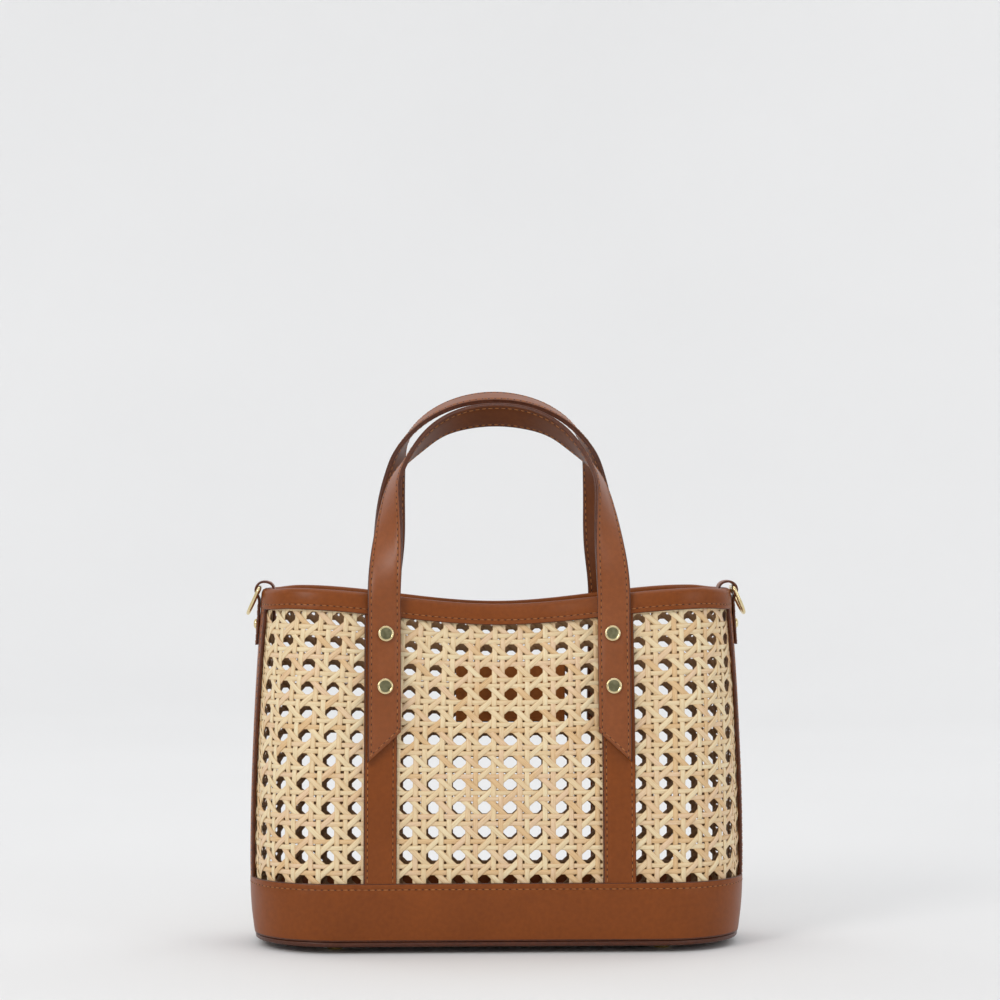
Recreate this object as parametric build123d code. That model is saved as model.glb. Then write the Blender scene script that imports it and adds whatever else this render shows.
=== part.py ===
from build123d import *
import math
import os

# Small box-shaped tote bag of woven cane webbing with smooth leather trim, on four metal feet.
# Millimetres. X runs along the bag, +Y to its back, +Z up. The origin is on the ground under the middle.

# ---- overall sizes
BODY_WIDTH = 243.4        # between the cane's inner faces, at the widest
BODY_DEPTH = 86.4         # between the cane's inner faces, front to back, near the base
WAIST_Z = 45.0            # height of the widest place
RIM_SIDE_Z = 181.0        # highest point of the rim, near the corners
RIM_DIP = 8.2             # how much lower the rim is at the middle of the front and back
RIM_EAR_DROP = 0.8        # how much the rim is drawn down under the ring tabs
RIM_CREST = 0.85          # where the rim is highest, as a share of the way to the side
RIM_EAR = 0.94            # where it is drawn down all the way

# ---- the body's shape above and below the waist
SIDE_LEAN = 6.1           # each side panel's lean inwards, waist to rim
FRONT_LEAN = 13.0         # the front's and back's lean inwards at the corners, waist to rim
MIDDLE_SAG = 11.0         # how much further in the middle of the front lies at the rim
LEAN_POWER = 1.8
BASE_TAPER = 3.2          # each side's taper inwards, waist to ground
BASE_TAPER_DEPTH = 1.5    # the same for the front and back
CORNER_RADIUS = 39.0      # plan radius of the corners at the waist
CORNER_LOSS = 10.5        # how much smaller that radius is at the rim
SIDE_FLAT = 1.0           # least half-depth left straight between a side's two corners

# ---- thicknesses, counted outwards from the cane's inner face
CANE = 2.0
STRIP = 1.6               # leather strips laid over the cane
BAND = 1.8                # leather of the base band and the rim binding
SEAT = 0.3                # clearance of a curved piece that lies on another
HOLE_CLEAR = 0.05         # round a post or stud in its hole

# ---- base
FOOT_HEIGHT = 3.5
FOOT_RADIUS = 5.0
FOOT_FLAT_RADIUS = 3.0
FOOT_ROUNDING = 0.4
FOOT_STUD_RADIUS = 1.2
FOOT_X = 82.0
FOOT_Y = 26.0
FOOT_HEAD_RADIUS = 2.6
FOOT_HEAD_HEIGHT = 0.6
BASE_PANEL = 2.7          # thickness of the bottom leather, whose edge shows as a lip
BASE_LIP_INSET = 0.4      # how far the lip's edge stays inside the band's face
BASE_BOARD = 2.5
BASE_BAND_HEIGHT = 28.8

# ---- rim binding
BINDING_HEIGHT = 10.5
BINDING_INNER = 1.6
BINDING_CAP = 1.5         # leather over the cane's top edge

# ---- leather strips
STRIP_WIDTH = 16.4
STRIP_X_TOP = 58.9
STRIP_X_BOTTOM = 59.5
SIDE_STRIP_WIDTH = 26.0

# ---- handles: two leathers glued and stitched, laid flat on the body and twisted as they rise
HANDLE_WIDTH = 16.5
HANDLE_OUTER = 1.3
HANDLE_LINING = 1.2
HANDLE_GLUE = 0.05        # glue line between the two leathers
HANDLE_X = 57.4           # leg centre to the bag's middle
HANDLE_TAIL_TIP_Z = 94.0
HANDLE_TAIL_CUT = 15.0    # height of the tail's slanting end
HANDLE_TAIL_TRIM = 1.0    # what the cut takes off at the tip
HANDLE_TAIL_LEAD = 24.0   # waste below the tip, where the loft ends, that the cut takes off
HANDLE_FRONT_RISE = 91.0  # leg at the rim to the top of the arch, on the middle line
HANDLE_BACK_RISE = 100.6
HANDLE_FRONT_LEAN = 36.5  # how far the arch's top lies inwards of the leg at the rim
HANDLE_BACK_LEAN = 9.5
HANDLE_LEAN_POWER = 1.15  # above 1 the arch leans more the higher it is
# share of the leg's distance from the middle, share of the rise, twist in degrees
HANDLE_FRONT_SHAPE = [
    (0.972, 0.275, 29),
    (0.941, 0.496, 56),
    (0.897, 0.639, 76),
    (0.815, 0.732, 90),
    (0.679, 0.831, 106),
    (0.505, 0.922, 116),
    (0.275, 0.980, 126),
    (0.0, 1.0, 129),
]
HANDLE_BACK_SHAPE = [
    (0.958, 0.245, 12),
    (0.937, 0.441, 34),
    (0.900, 0.608, 57),
    (0.869, 0.693, 70),
    (0.819, 0.765, 84),
    (0.680, 0.863, 96),
    (0.528, 0.925, 101),
    (0.300, 0.978, 104),
    (0.0, 1.0, 106),
]
HANDLE_SECTIONS = 49
HANDLE_TAIL_STEPS = 6
HANDLE_LIFT_Z = 160.0     # above this the strap leaves the wall's slant and comes to stand square
HANDLE_SEAT = 0.65        # clearance between a tail and the binding it crosses

# ---- rivets
RIVET_RADIUS = 4.0
RIVET_CAP = 1.3
RIVET_POST_RADIUS = 1.5
RIVET_BACK_RADIUS = 3.5
RIVET_BACK = 1.0
RIVET_LOW_Z = 131.5
RIVET_PITCH = 25.7
RIVET_CLEAR = 0.25        # a cap or disc to the curved leather or cane beneath it
RIVET_WELD = 0.2          # how far a post reaches into its cap

# ---- ring tabs and rings, at the middle of each side
TAB_WIDTH = 12.0
TAB_THICK = 1.2
TAB_SLACK = 0.2           # free room in the fold beside the binding and the ring's bar
TAB_END_Z = 151.5
TAB_INNER_END_Z = 157.0
TAB_LOOP_RISE = 3.3       # clear height of the fold over the rim beneath it
TAB_RIVET_Z = 162.0
TAB_RIVET_RADIUS = 2.6
TAB_RIVET_CAP = 1.6
RING_WIRE_RADIUS = 0.95
RING_HALF_WIDTH = 7.8     # wire centre to the ring's middle
RING_STRAIGHT = 6.5       # from the bar to where the bow begins
RING_CORNER = 2.0
RING_HANG_DEG = 24.5      # how far the ring hangs out from straight down
RING_CLEAR = 0.25         # bar to tab, and bar to binding
TAB_LOOP_RADIUS = (SEAT + BINDING_INNER + CANE + BAND + TAB_SLACK) / 2 + RING_WIRE_RADIUS + RING_CLEAR

# ---- leather patch on the inner face of the back panel
PATCH_LEFT_X = -20.0
PATCH_RIGHT_X = 37.0
PATCH_LOW_Z = 109.0
PATCH_HIGH_Z = 141.0
PATCH = 1.2

# ---- worked-out heights and offsets
BASE_PANEL_Z = FOOT_HEIGHT
FLOOR_Z = BASE_PANEL_Z + BASE_PANEL
BOARD_TOP_Z = FLOOR_Z + BASE_BOARD
BAND_TOP_Z = FLOOR_Z + BASE_BAND_HEIGHT
STRIP_FACE = CANE + STRIP
BAND_FACE = CANE + BAND
HANDLE_BACK_FACE = BAND_FACE + HANDLE_SEAT
HANDLE_MIDDLE = HANDLE_BACK_FACE + HANDLE_LINING
HANDLE_FACE = HANDLE_MIDDLE + HANDLE_OUTER
FAR = 400.0               # beyond every part of the bag, for cutting blocks

# ---- heights of the plan outlines that shape the body: three up to the waist, six above it
LOW_HEIGHTS = [WAIST_Z * share for share in (0, 0.33, 0.67, 1)]
HIGH_HEIGHTS = [WAIST_Z + (RIM_SIDE_Z + 8 - WAIST_Z) * share for share in (0.14, 0.31, 0.48, 0.66, 0.83, 1)]
SECTION_HEIGHTS = LOW_HEIGHTS + HIGH_HEIGHTS


def rise(z):
    """Share of the lean reached at this height, 0 at the waist and 1 at the rim."""
    return max(0.0, (z - WAIST_Z) / (RIM_SIDE_Z - WAIST_Z)) ** LEAN_POWER


def fall(z):
    """Share of the base taper reached at this height, 0 at the waist and 1 at the ground."""
    return max(0.0, (WAIST_Z - z) / WAIST_Z) ** 2


def half_width(z):
    return BODY_WIDTH / 2 - SIDE_LEAN * rise(z) - BASE_TAPER * fall(z)


def half_depth(z):
    return BODY_DEPTH / 2 - FRONT_LEAN * rise(z) - BASE_TAPER_DEPTH * fall(z)


def corner_radius(z):
    return min(CORNER_RADIUS - CORNER_LOSS * rise(z), half_depth(z) - SIDE_FLAT)


def run(z):
    """Half the length of the front between the corners."""
    return half_width(z) - corner_radius(z)


def wall_depth(x, z, offset):
    """Distance of the front or back face from the middle plane, at a place between the corners."""
    share = 1 - min(1.0, abs(x) / run(z))
    return half_depth(z) + offset - MIDDLE_SAG * rise(z) * (3 * share**2 - 2 * share**3)


def section(z, offset):
    """The body's plan outline at a height, a distance outside the cane's inner face."""
    a = run(z)
    b = half_depth(z) - corner_radius(z)
    r = corner_radius(z) + offset
    d = half_depth(z) + offset
    w = half_width(z) + offset
    middle = wall_depth(0, z, offset)
    k = r * math.sqrt(0.5)
    along = (1, 0, 0)
    edges = [
        Edge.make_spline([(-a, -d, z), (0, -middle, z), (a, -d, z)], tangents=[along, along]),
        Edge.make_three_point_arc((a, -d, z), (a + k, -b - k, z), (w, -b, z)),
        Edge.make_line((w, -b, z), (w, b, z)),
        Edge.make_three_point_arc((w, b, z), (a + k, b + k, z), (a, d, z)),
        Edge.make_spline([(a, d, z), (0, middle, z), (-a, d, z)], tangents=[(-1, 0, 0), (-1, 0, 0)]),
        Edge.make_three_point_arc((-a, d, z), (-a - k, b + k, z), (-w, b, z)),
        Edge.make_line((-w, b, z), (-w, -b, z)),
        Edge.make_three_point_arc((-w, -b, z), (-a - k, -b - k, z), (-a, -d, z)),
    ]
    return Wire(edges)


def body(offset):
    """The whole body as one block, a distance outside the cane's inner face."""
    return Solid.make_loft([section(z, offset) for z in SECTION_HEIGHTS], ruled=False)


BODY = {t: body(t) for t in (-BINDING_INNER, 0.0, CANE, STRIP_FACE, BAND_FACE)}


def layer(inner, outer):
    """The shell between two offsets."""
    return BODY[outer] - BODY[inner]


def rim_z(x):
    """Nominal rim height at a place along the bag."""
    share = 1 - min(1.0, abs(x) / (RIM_CREST * BODY_WIDTH / 2))
    return RIM_SIDE_Z - RIM_DIP * (3 * share**2 - 2 * share**3)


def under_rim(drop, low):
    """A block under the rim line, lowered by a drop, down to a height."""
    reach = BODY_WIDTH / 2
    ear_z = RIM_SIDE_Z - RIM_EAR_DROP
    half = [
        (reach / 2, rim_z(reach / 2)),
        (RIM_CREST * reach, RIM_SIDE_Z),
        (RIM_EAR * reach, ear_z),
        (reach + BAND, ear_z),
    ]
    left = [(-x, z) for x, z in reversed(half)]
    line = [(x, 0, z - drop) for x, z in left + [(0, rim_z(0))] + half]
    edges = [
        Edge.make_spline([Vector(*p) for p in line]),
        Edge.make_line(line[-1], (FAR, 0, line[-1][2])),
        Edge.make_line((FAR, 0, line[-1][2]), (FAR, 0, low)),
        Edge.make_line((FAR, 0, low), (-FAR, 0, low)),
        Edge.make_line((-FAR, 0, low), (-FAR, 0, line[0][2])),
        Edge.make_line((-FAR, 0, line[0][2]), line[0]),
    ]
    face = Face(Wire(edges))
    return Pos(0, -FAR / 2, 0) * Solid.extrude(face, Vector(0, FAR, 0))


def slab(low, high):
    return Pos(0, 0, (low + high) / 2) * Box(2 * FAR, 2 * FAR, high - low)


def side_of(sign):
    """Everything in front of the middle plane for -1, behind it for +1."""
    return Pos(0, sign * FAR / 2, 0) * Box(2 * FAR, FAR, 4 * FAR)


def wall_frame(x, z, side, offset):
    """A plane on the front (-1) or back (+1) face, with its normal pointing away from the bag."""
    step = 1.0
    slope_z = (wall_depth(x, z + step, offset) - wall_depth(x, z - step, offset)) / (2 * step)
    slope_x = (wall_depth(x + step, z, offset) - wall_depth(x - step, z, offset)) / (2 * step)
    normal = Vector(-slope_x, side, -slope_z)
    return Plane(origin=(x, side * wall_depth(x, z, offset), z), x_dir=(1, side * slope_x, 0), z_dir=normal)


def rivet_places():
    """Name, side and place of every handle rivet."""
    for side_name, side in (("front", -1), ("back", 1)):
        for leg_name, leg in (("left", -1), ("right", 1)):
            for level_name, z in (("low", RIVET_LOW_Z), ("high", RIVET_LOW_Z + RIVET_PITCH)):
                yield f"{side_name}_{leg_name}_{level_name}", side, leg * HANDLE_X, z


def post(x, z, side, low, high, radius):
    """A round bar along the wall's normal, between two offsets."""
    frame = wall_frame(x, z, side, 0)
    return frame * Pos(0, 0, (low + high) / 2) * Cylinder(radius, high - low)


def drill(shape, cutters):
    for cutter in cutters:
        shape = shape - cutter
    return shape


def holes_for(side):
    """Round bars for the rivet holes of the front or back."""
    low, high = -STRIP_WIDTH / 2, HANDLE_FACE + STRIP_WIDTH / 2
    radius = RIVET_POST_RADIUS + HOLE_CLEAR
    return [post(x, z, s, low, high, radius) for _, s, x, z in rivet_places() if s == side]


def tab_hole(side):
    """The hole through a side for the tab's rivet; side is -1 for left and +1 for right."""
    depth = 2 * CORNER_RADIUS
    bar = Rot(0, 90, 0) * Cylinder(RIVET_POST_RADIUS + HOLE_CLEAR, depth)
    return Pos(side * half_width(TAB_RIVET_Z), 0, TAB_RIVET_Z) * bar


def stud_places():
    for i, (sx, sy) in enumerate(((-1, -1), (1, -1), (-1, 1), (1, 1))):
        yield f"foot_{i + 1}", sx * FOOT_X, sy * FOOT_Y


# ---- pieces

def cane_panel(side):
    panel = layer(0.0, CANE) & under_rim(BINDING_CAP, FLOOR_Z) & side_of(side)
    panel = drill(panel, holes_for(side))
    return drill(panel, [tab_hole(-1), tab_hole(1)])


def base_band(side):
    return layer(CANE, BAND_FACE) & slab(FLOOR_Z, BAND_TOP_Z) & side_of(side)


def plan_plate(low, high, offset):
    face = Face(section(low, offset))
    return Solid.extrude(face, Vector(0, 0, high - low))


def stud_holes():
    bar = Cylinder(FOOT_STUD_RADIUS + HOLE_CLEAR, 4 * BOARD_TOP_Z)
    return [Pos(x, y, 0) * bar for _, x, y in stud_places()]


def base_panel():
    return drill(plan_plate(BASE_PANEL_Z, FLOOR_Z, BAND_FACE - BASE_LIP_INSET), stud_holes())


def base_board():
    return drill(plan_plate(FLOOR_Z, BOARD_TOP_Z, -SEAT), stud_holes())


def foot(x, y):
    """A domed foot with a flat tread, and its stud clenched over the base board."""
    outline = [
        (0, 0),
        (FOOT_FLAT_RADIUS, 0),
        (FOOT_RADIUS - FOOT_ROUNDING, FOOT_HEIGHT / 2),
        (FOOT_RADIUS, FOOT_HEIGHT - FOOT_ROUNDING),
        (FOOT_RADIUS, FOOT_HEIGHT),
        (FOOT_STUD_RADIUS, FOOT_HEIGHT),
        (FOOT_STUD_RADIUS, BOARD_TOP_Z),
        (FOOT_HEAD_RADIUS, BOARD_TOP_Z),
        (FOOT_HEAD_RADIUS - FOOT_ROUNDING, BOARD_TOP_Z + FOOT_HEAD_HEIGHT),
        (0, BOARD_TOP_Z + FOOT_HEAD_HEIGHT),
    ]
    face = Face(Wire.make_polygon([(r, 0, z) for r, z in outline], close=True))
    return Pos(x, y, 0) * Solid.revolve(face, 360, Axis.Z)


def binding(side):
    fold = layer(-BINDING_INNER, BAND_FACE) & (under_rim(0, WAIST_Z) - under_rim(BINDING_HEIGHT, FLOOR_Z))
    core = layer(0.0, CANE) & under_rim(BINDING_CAP, FLOOR_Z)
    return (fold - core) & side_of(side)


def strip_block(leg):
    """The upright strip's outline as seen from the front, through the whole depth."""
    low, high = BAND_TOP_Z, RIM_SIDE_Z
    h = STRIP_WIDTH / 2
    points = [
        (leg * STRIP_X_BOTTOM - h, -FAR / 2, low),
        (leg * STRIP_X_BOTTOM + h, -FAR / 2, low),
        (leg * STRIP_X_TOP + h, -FAR / 2, high),
        (leg * STRIP_X_TOP - h, -FAR / 2, high),
    ]
    return Solid.extrude(Face(Wire.make_polygon(points, close=True)), Vector(0, FAR, 0))


def strip(side, leg):
    piece = layer(CANE, STRIP_FACE) & strip_block(leg) & side_of(side) & under_rim(BINDING_HEIGHT, BAND_TOP_Z)
    return drill(piece, holes_for(side))


def side_strip(side):
    block = Pos(side * FAR / 2, 0, 0) * Box(FAR, SIDE_STRIP_WIDTH, 2 * FAR)
    piece = layer(CANE, STRIP_FACE) & block & under_rim(BINDING_HEIGHT, BAND_TOP_Z)
    return piece - tab_hole(side)


def tail_seat(z, follow):
    """Depth of the glue line and slant in degrees of a tail lying on the wall.

    follow is 1 where the strap takes the wall's slant in plan and 0 where it stands square.
    """
    half = HANDLE_WIDTH / 2
    outer = wall_depth(HANDLE_X + half, z, HANDLE_MIDDLE)
    inner = wall_depth(HANDLE_X - half, z, HANDLE_MIDDLE)
    middle = wall_depth(HANDLE_X, z, HANDLE_MIDDLE)
    slant = -math.atan2(outer - inner, 2 * half) * follow
    drop = half * math.sin(slant)
    return max(outer + drop, inner - drop, middle), math.degrees(slant)


def handle_line(side):
    """Points and twists of one handle from its left tail's tip over the arch to the right one's."""
    shape = HANDLE_FRONT_SHAPE if side < 0 else HANDLE_BACK_SHAPE
    total = HANDLE_FRONT_RISE if side < 0 else HANDLE_BACK_RISE
    lean = HANDLE_FRONT_LEAN if side < 0 else HANDLE_BACK_LEAN
    leave_z = rim_z(HANDLE_X)
    leave, _ = tail_seat(leave_z, 0.0)
    start_z = HANDLE_TAIL_TIP_Z - HANDLE_TAIL_LEAD
    half = []
    for i in range(HANDLE_TAIL_STEPS):
        z = start_z + (HANDLE_LIFT_Z - start_z) * i / (HANDLE_TAIL_STEPS - 1)
        depth, slant = tail_seat(z, 1.0)
        half.append((-HANDLE_X, side * depth, z, slant))
    for follow in (0.5, 0.0):
        z = leave_z + (HANDLE_LIFT_Z - leave_z) * follow
        depth, slant = tail_seat(z, follow)
        half.append((-HANDLE_X, side * depth, z, slant))
    for x_share, z_share, twist in shape:
        inwards = lean * z_share**HANDLE_LEAN_POWER
        half.append((-HANDLE_X * x_share, side * (leave - inwards), leave_z + total * z_share, twist))
    other = [(-x, y, z, twist) for x, y, z, twist in reversed(half[:-1])]
    return half + other


def twist_at(shares, twists, share):
    """The twist at a share of the handle's length, in proportion between two stations."""
    for i in range(len(shares) - 1):
        if share <= shares[i + 1]:
            part = (share - shares[i]) / (shares[i + 1] - shares[i])
            return twists[i] + (twists[i + 1] - twists[i]) * part
    return twists[-1]


def handle_layer(side, low, high):
    """One leather of a handle, between two distances from the glue line."""
    line = handle_line(side)
    points = [Vector(x, y, z) for x, y, z, _ in line]
    lengths = [0.0]
    for before, after in zip(points, points[1:]):
        lengths.append(lengths[-1] + (after - before).length)
    shares = [value / lengths[-1] for value in lengths]
    twists = [t for _, _, _, t in line]
    path = Edge.make_spline(points, parameters=shares)
    outwards = Vector(0, side, 0)
    wires = []
    for i in range(HANDLE_SECTIONS):
        share = i / (HANDLE_SECTIONS - 1)
        place = path.position_at(share, position_mode=PositionMode.PARAMETER)
        ahead = path.tangent_at(share, position_mode=PositionMode.PARAMETER).normalized()
        level = (outwards - ahead * outwards.dot(ahead)).normalized()
        across = level.cross(ahead).normalized() * (-side)
        turn = math.radians(twist_at(shares, twists, share))
        normal = level * math.cos(turn) + across * math.sin(turn)
        width = ahead.cross(normal).normalized() * (HANDLE_WIDTH / 2)
        corners = [
            place - width + normal * low,
            place + width + normal * low,
            place + width + normal * high,
            place - width + normal * high,
        ]
        wires.append(Wire.make_polygon(corners, close=True))
    strap = Solid.make_loft(wires, ruled=False)
    for leg in (-1, 1):
        strap = strap - tail_cut(leg)
    return drill(strap, holes_for(side))


def tail_cut(leg):
    """What the slanting cut takes off a tail: the tip is on the outer edge."""
    inner = leg * (HANDLE_X - HANDLE_WIDTH / 2)
    outer = leg * (HANDLE_X + HANDLE_WIDTH / 2)
    slope = HANDLE_TAIL_CUT / (outer - inner)
    over = leg * HANDLE_WIDTH / 2
    tip = HANDLE_TAIL_TIP_Z + HANDLE_TAIL_TRIM
    low = tip - HANDLE_TAIL_LEAD - HANDLE_TAIL_CUT
    points = [
        (inner - over, -FAR / 2, tip + HANDLE_TAIL_CUT + slope * over),
        (outer + over, -FAR / 2, tip - slope * over),
        (outer + over, -FAR / 2, low),
        (inner - over, -FAR / 2, low),
    ]
    return Solid.extrude(Face(Wire.make_polygon(points, close=True)), Vector(0, FAR, 0))


def rivet_cap(x, z, side):
    """The flat head on the handle's face with the post through all the layers."""
    frame = wall_frame(x, z, side, 0)
    low = HANDLE_FACE + RIVET_CLEAR
    head = Cylinder(RIVET_RADIUS, RIVET_CAP, align=(Align.CENTER, Align.CENTER, Align.MIN))
    head = fillet(head.edges().group_by(Axis.Z)[-1], RIVET_CAP * 0.4)
    shaft_low = -RIVET_CLEAR
    reach = low - shaft_low + RIVET_WELD
    shaft = Cylinder(RIVET_POST_RADIUS, reach, align=(Align.CENTER, Align.CENTER, Align.MIN))
    return frame * (Pos(0, 0, low) * head + Pos(0, 0, shaft_low) * shaft)


def rivet_back(x, z, side):
    """The clenched disc on the cane's inner face, on the post's end."""
    frame = wall_frame(x, z, side, 0)
    disc = Cylinder(RIVET_BACK_RADIUS, RIVET_BACK, align=(Align.CENTER, Align.CENTER, Align.MAX))
    return frame * Pos(0, 0, -RIVET_CLEAR) * disc


def tab_points():
    """Key places of the tab's fold at the right side: fold centre and outer and inner leg faces."""
    rim = RIM_SIDE_Z - RIM_EAR_DROP
    inner_face = half_width(rim) - BINDING_INNER - SEAT
    centre_x = inner_face + TAB_LOOP_RADIUS
    centre_z = rim + TAB_LOOP_RISE - TAB_LOOP_RADIUS
    return inner_face, centre_x, centre_z


def ring_tab(side):
    """A leather tab folded over the rim, its outer leg lying on the side strip."""
    inner_face, cx, cz = tab_points()
    r = TAB_LOOP_RADIUS
    t = TAB_THICK
    foot_x = half_width(TAB_END_Z) + STRIP_FACE + SEAT
    outer_x = cx + r
    edges = [
        Edge.make_line((inner_face, 0, TAB_INNER_END_Z), (inner_face, 0, cz)),
        Edge.make_three_point_arc((inner_face, 0, cz), (cx, 0, cz + r), (outer_x, 0, cz)),
        Edge.make_line((outer_x, 0, cz), (foot_x, 0, TAB_END_Z)),
        Edge.make_line((foot_x, 0, TAB_END_Z), (foot_x + t, 0, TAB_END_Z)),
        Edge.make_line((foot_x + t, 0, TAB_END_Z), (outer_x + t, 0, cz)),
        Edge.make_three_point_arc((outer_x + t, 0, cz), (cx, 0, cz + r + t), (inner_face - t, 0, cz)),
        Edge.make_line((inner_face - t, 0, cz), (inner_face - t, 0, TAB_INNER_END_Z)),
        Edge.make_line((inner_face - t, 0, TAB_INNER_END_Z), (inner_face, 0, TAB_INNER_END_Z)),
    ]
    tab = Pos(0, -TAB_WIDTH / 2, 0) * Solid.extrude(Face(Wire(edges)), Vector(0, TAB_WIDTH, 0))
    tab = tab - tab_hole(1)
    return tab if side > 0 else mirror(tab, Plane.YZ)


def tab_leg_face(z):
    """Outer face of the tab's outer leg at a height, at the right side."""
    _, cx, cz = tab_points()
    foot_x = half_width(TAB_END_Z) + STRIP_FACE + SEAT
    share = (cz - z) / (cz - TAB_END_Z)
    return (cx + TAB_LOOP_RADIUS) * (1 - share) + foot_x * share + TAB_THICK


def tab_rivet_cap(side):
    face = tab_leg_face(TAB_RIVET_Z) + RIVET_CLEAR
    inner_face, _, _ = tab_points()
    end = inner_face - TAB_THICK
    turn = Rot(0, 90, 0)
    head = Cylinder(TAB_RIVET_RADIUS, TAB_RIVET_CAP, align=(Align.CENTER, Align.CENTER, Align.MIN))
    head = fillet(head.edges().group_by(Axis.Z)[-1], TAB_RIVET_CAP * 0.5)
    reach = face - end + RIVET_WELD
    shaft = Cylinder(RIVET_POST_RADIUS, reach, align=(Align.CENTER, Align.CENTER, Align.MIN))
    cap = Pos(face, 0, TAB_RIVET_Z) * turn * head + Pos(end, 0, TAB_RIVET_Z) * turn * shaft
    return cap if side > 0 else mirror(cap, Plane.YZ)


def tab_rivet_back(side):
    inner_face, _, _ = tab_points()
    disc = Cylinder(TAB_RIVET_RADIUS, RIVET_BACK, align=(Align.CENTER, Align.CENTER, Align.MAX))
    back = Pos(inner_face - TAB_THICK, 0, TAB_RIVET_Z) * Rot(0, 90, 0) * disc
    return back if side > 0 else mirror(back, Plane.YZ)


def ring_axis():
    """Where the ring's bar runs at the right side: under the fold, outside the binding."""
    _, cx, cz = tab_points()
    reach = TAB_LOOP_RADIUS - RING_WIRE_RADIUS - RING_CLEAR
    x = half_width(RIM_SIDE_Z - RIM_EAR_DROP) + BAND_FACE + RING_CLEAR + RING_WIRE_RADIUS
    across = min(reach, x - cx)
    return cx + across, cz + math.sqrt(max(0.0, reach**2 - across**2))


def d_ring(side):
    """A D of round wire: a straight bar in the fold, two short sides and a round bow."""
    w = RING_HALF_WIDTH
    c = RING_CORNER
    s = RING_STRAIGHT
    k = c * (1 - math.sqrt(0.5))
    edges = [
        Edge.make_line((0, -w + c, 0), (0, w - c, 0)),
        Edge.make_three_point_arc((0, w - c, 0), (0, w - k, -k), (0, w, -c)),
        Edge.make_line((0, w, -c), (0, w, -s)),
        Edge.make_three_point_arc((0, w, -s), (0, 0, -s - w), (0, -w, -s)),
        Edge.make_line((0, -w, -s), (0, -w, -c)),
        Edge.make_three_point_arc((0, -w, -c), (0, -w + k, -k), (0, -w + c, 0)),
    ]
    start = Face(Wire(Edge.make_circle(RING_WIRE_RADIUS, Plane(origin=(0, -w + c, 0), z_dir=(0, 1, 0)))))
    ring = Solid.sweep(start.outer_wire(), Wire(edges), transition=Transition.TRANSFORMED)
    x, z = ring_axis()
    ring = Pos(x, 0, z) * Rot(0, -RING_HANG_DEG, 0) * ring
    return ring if side > 0 else mirror(ring, Plane.YZ)


def inner_patch():
    """A thin leather patch against the inner face of the back panel."""
    wires = []
    count = 7
    for i in range(count):
        x = PATCH_LEFT_X + (PATCH_RIGHT_X - PATCH_LEFT_X) * i / (count - 1)
        low = wall_depth(x, PATCH_LOW_Z, -SEAT)
        high = wall_depth(x, PATCH_HIGH_Z, -SEAT)
        corners = [
            (x, low, PATCH_LOW_Z),
            (x, high, PATCH_HIGH_Z),
            (x, high - PATCH, PATCH_HIGH_Z),
            (x, low - PATCH, PATCH_LOW_Z),
        ]
        wires.append(Wire.make_polygon(corners, close=True))
    return Solid.make_loft(wires, ruled=False)


def build():
    parts = {}
    for name, side in (("front", -1), ("back", 1)):
        parts[f"cane_{name}"] = cane_panel(side)
        parts[f"base_band_{name}"] = base_band(side)
        parts[f"binding_{name}"] = binding(side)
        parts[f"handle_{name}_outer"] = handle_layer(side, HANDLE_GLUE, HANDLE_OUTER)
        parts[f"handle_{name}_lining"] = handle_layer(side, -HANDLE_LINING, 0.0)
        for leg_name, leg in (("left", -1), ("right", 1)):
            parts[f"strip_{name}_{leg_name}"] = strip(side, leg)
    parts["base_panel"] = base_panel()
    parts["base_board"] = base_board()
    for name, x, y in stud_places():
        parts[name] = foot(x, y)
    for name, side, x, z in rivet_places():
        parts[f"rivet_cap_{name}"] = rivet_cap(x, z, side)
        parts[f"rivet_back_{name}"] = rivet_back(x, z, side)
    for name, side in (("left", -1), ("right", 1)):
        parts[f"side_strip_{name}"] = side_strip(side)
        parts[f"ring_tab_{name}"] = ring_tab(side)
        parts[f"tab_rivet_cap_{name}"] = tab_rivet_cap(side)
        parts[f"tab_rivet_back_{name}"] = tab_rivet_back(side)
        parts[f"d_ring_{name}"] = d_ring(side)
    parts["inner_patch"] = inner_patch()
    return parts


os.makedirs("parts", exist_ok=True)
for node, shape in build().items():
    export_step(shape, f"parts/{node}.step")
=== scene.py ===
import bpy
import bmesh
import math
import numpy as np
from functools import partial
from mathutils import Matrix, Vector


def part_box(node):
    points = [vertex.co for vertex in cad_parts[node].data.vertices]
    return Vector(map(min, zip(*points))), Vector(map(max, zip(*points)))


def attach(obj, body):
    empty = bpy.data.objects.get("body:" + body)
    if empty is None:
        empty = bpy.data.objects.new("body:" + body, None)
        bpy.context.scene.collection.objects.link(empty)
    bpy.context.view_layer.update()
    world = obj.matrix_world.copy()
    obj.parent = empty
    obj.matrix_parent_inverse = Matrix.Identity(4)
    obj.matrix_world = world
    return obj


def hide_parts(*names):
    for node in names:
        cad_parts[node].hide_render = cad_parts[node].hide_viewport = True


# A small box tote of woven cane webbing with smooth tan leather trim, pale gold metal parts and four feet.
# Sizes are millimetres until a mesh is made, which turns them into metres.

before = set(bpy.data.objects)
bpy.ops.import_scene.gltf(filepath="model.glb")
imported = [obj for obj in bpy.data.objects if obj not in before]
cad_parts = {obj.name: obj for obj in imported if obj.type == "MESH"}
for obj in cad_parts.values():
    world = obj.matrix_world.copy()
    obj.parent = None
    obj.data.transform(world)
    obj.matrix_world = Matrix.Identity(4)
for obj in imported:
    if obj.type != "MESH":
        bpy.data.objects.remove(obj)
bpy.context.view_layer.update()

MM = 0.001
SIDES = {"front": -1, "back": 1}
LEGS = {"left": -1, "right": 1}

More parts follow.
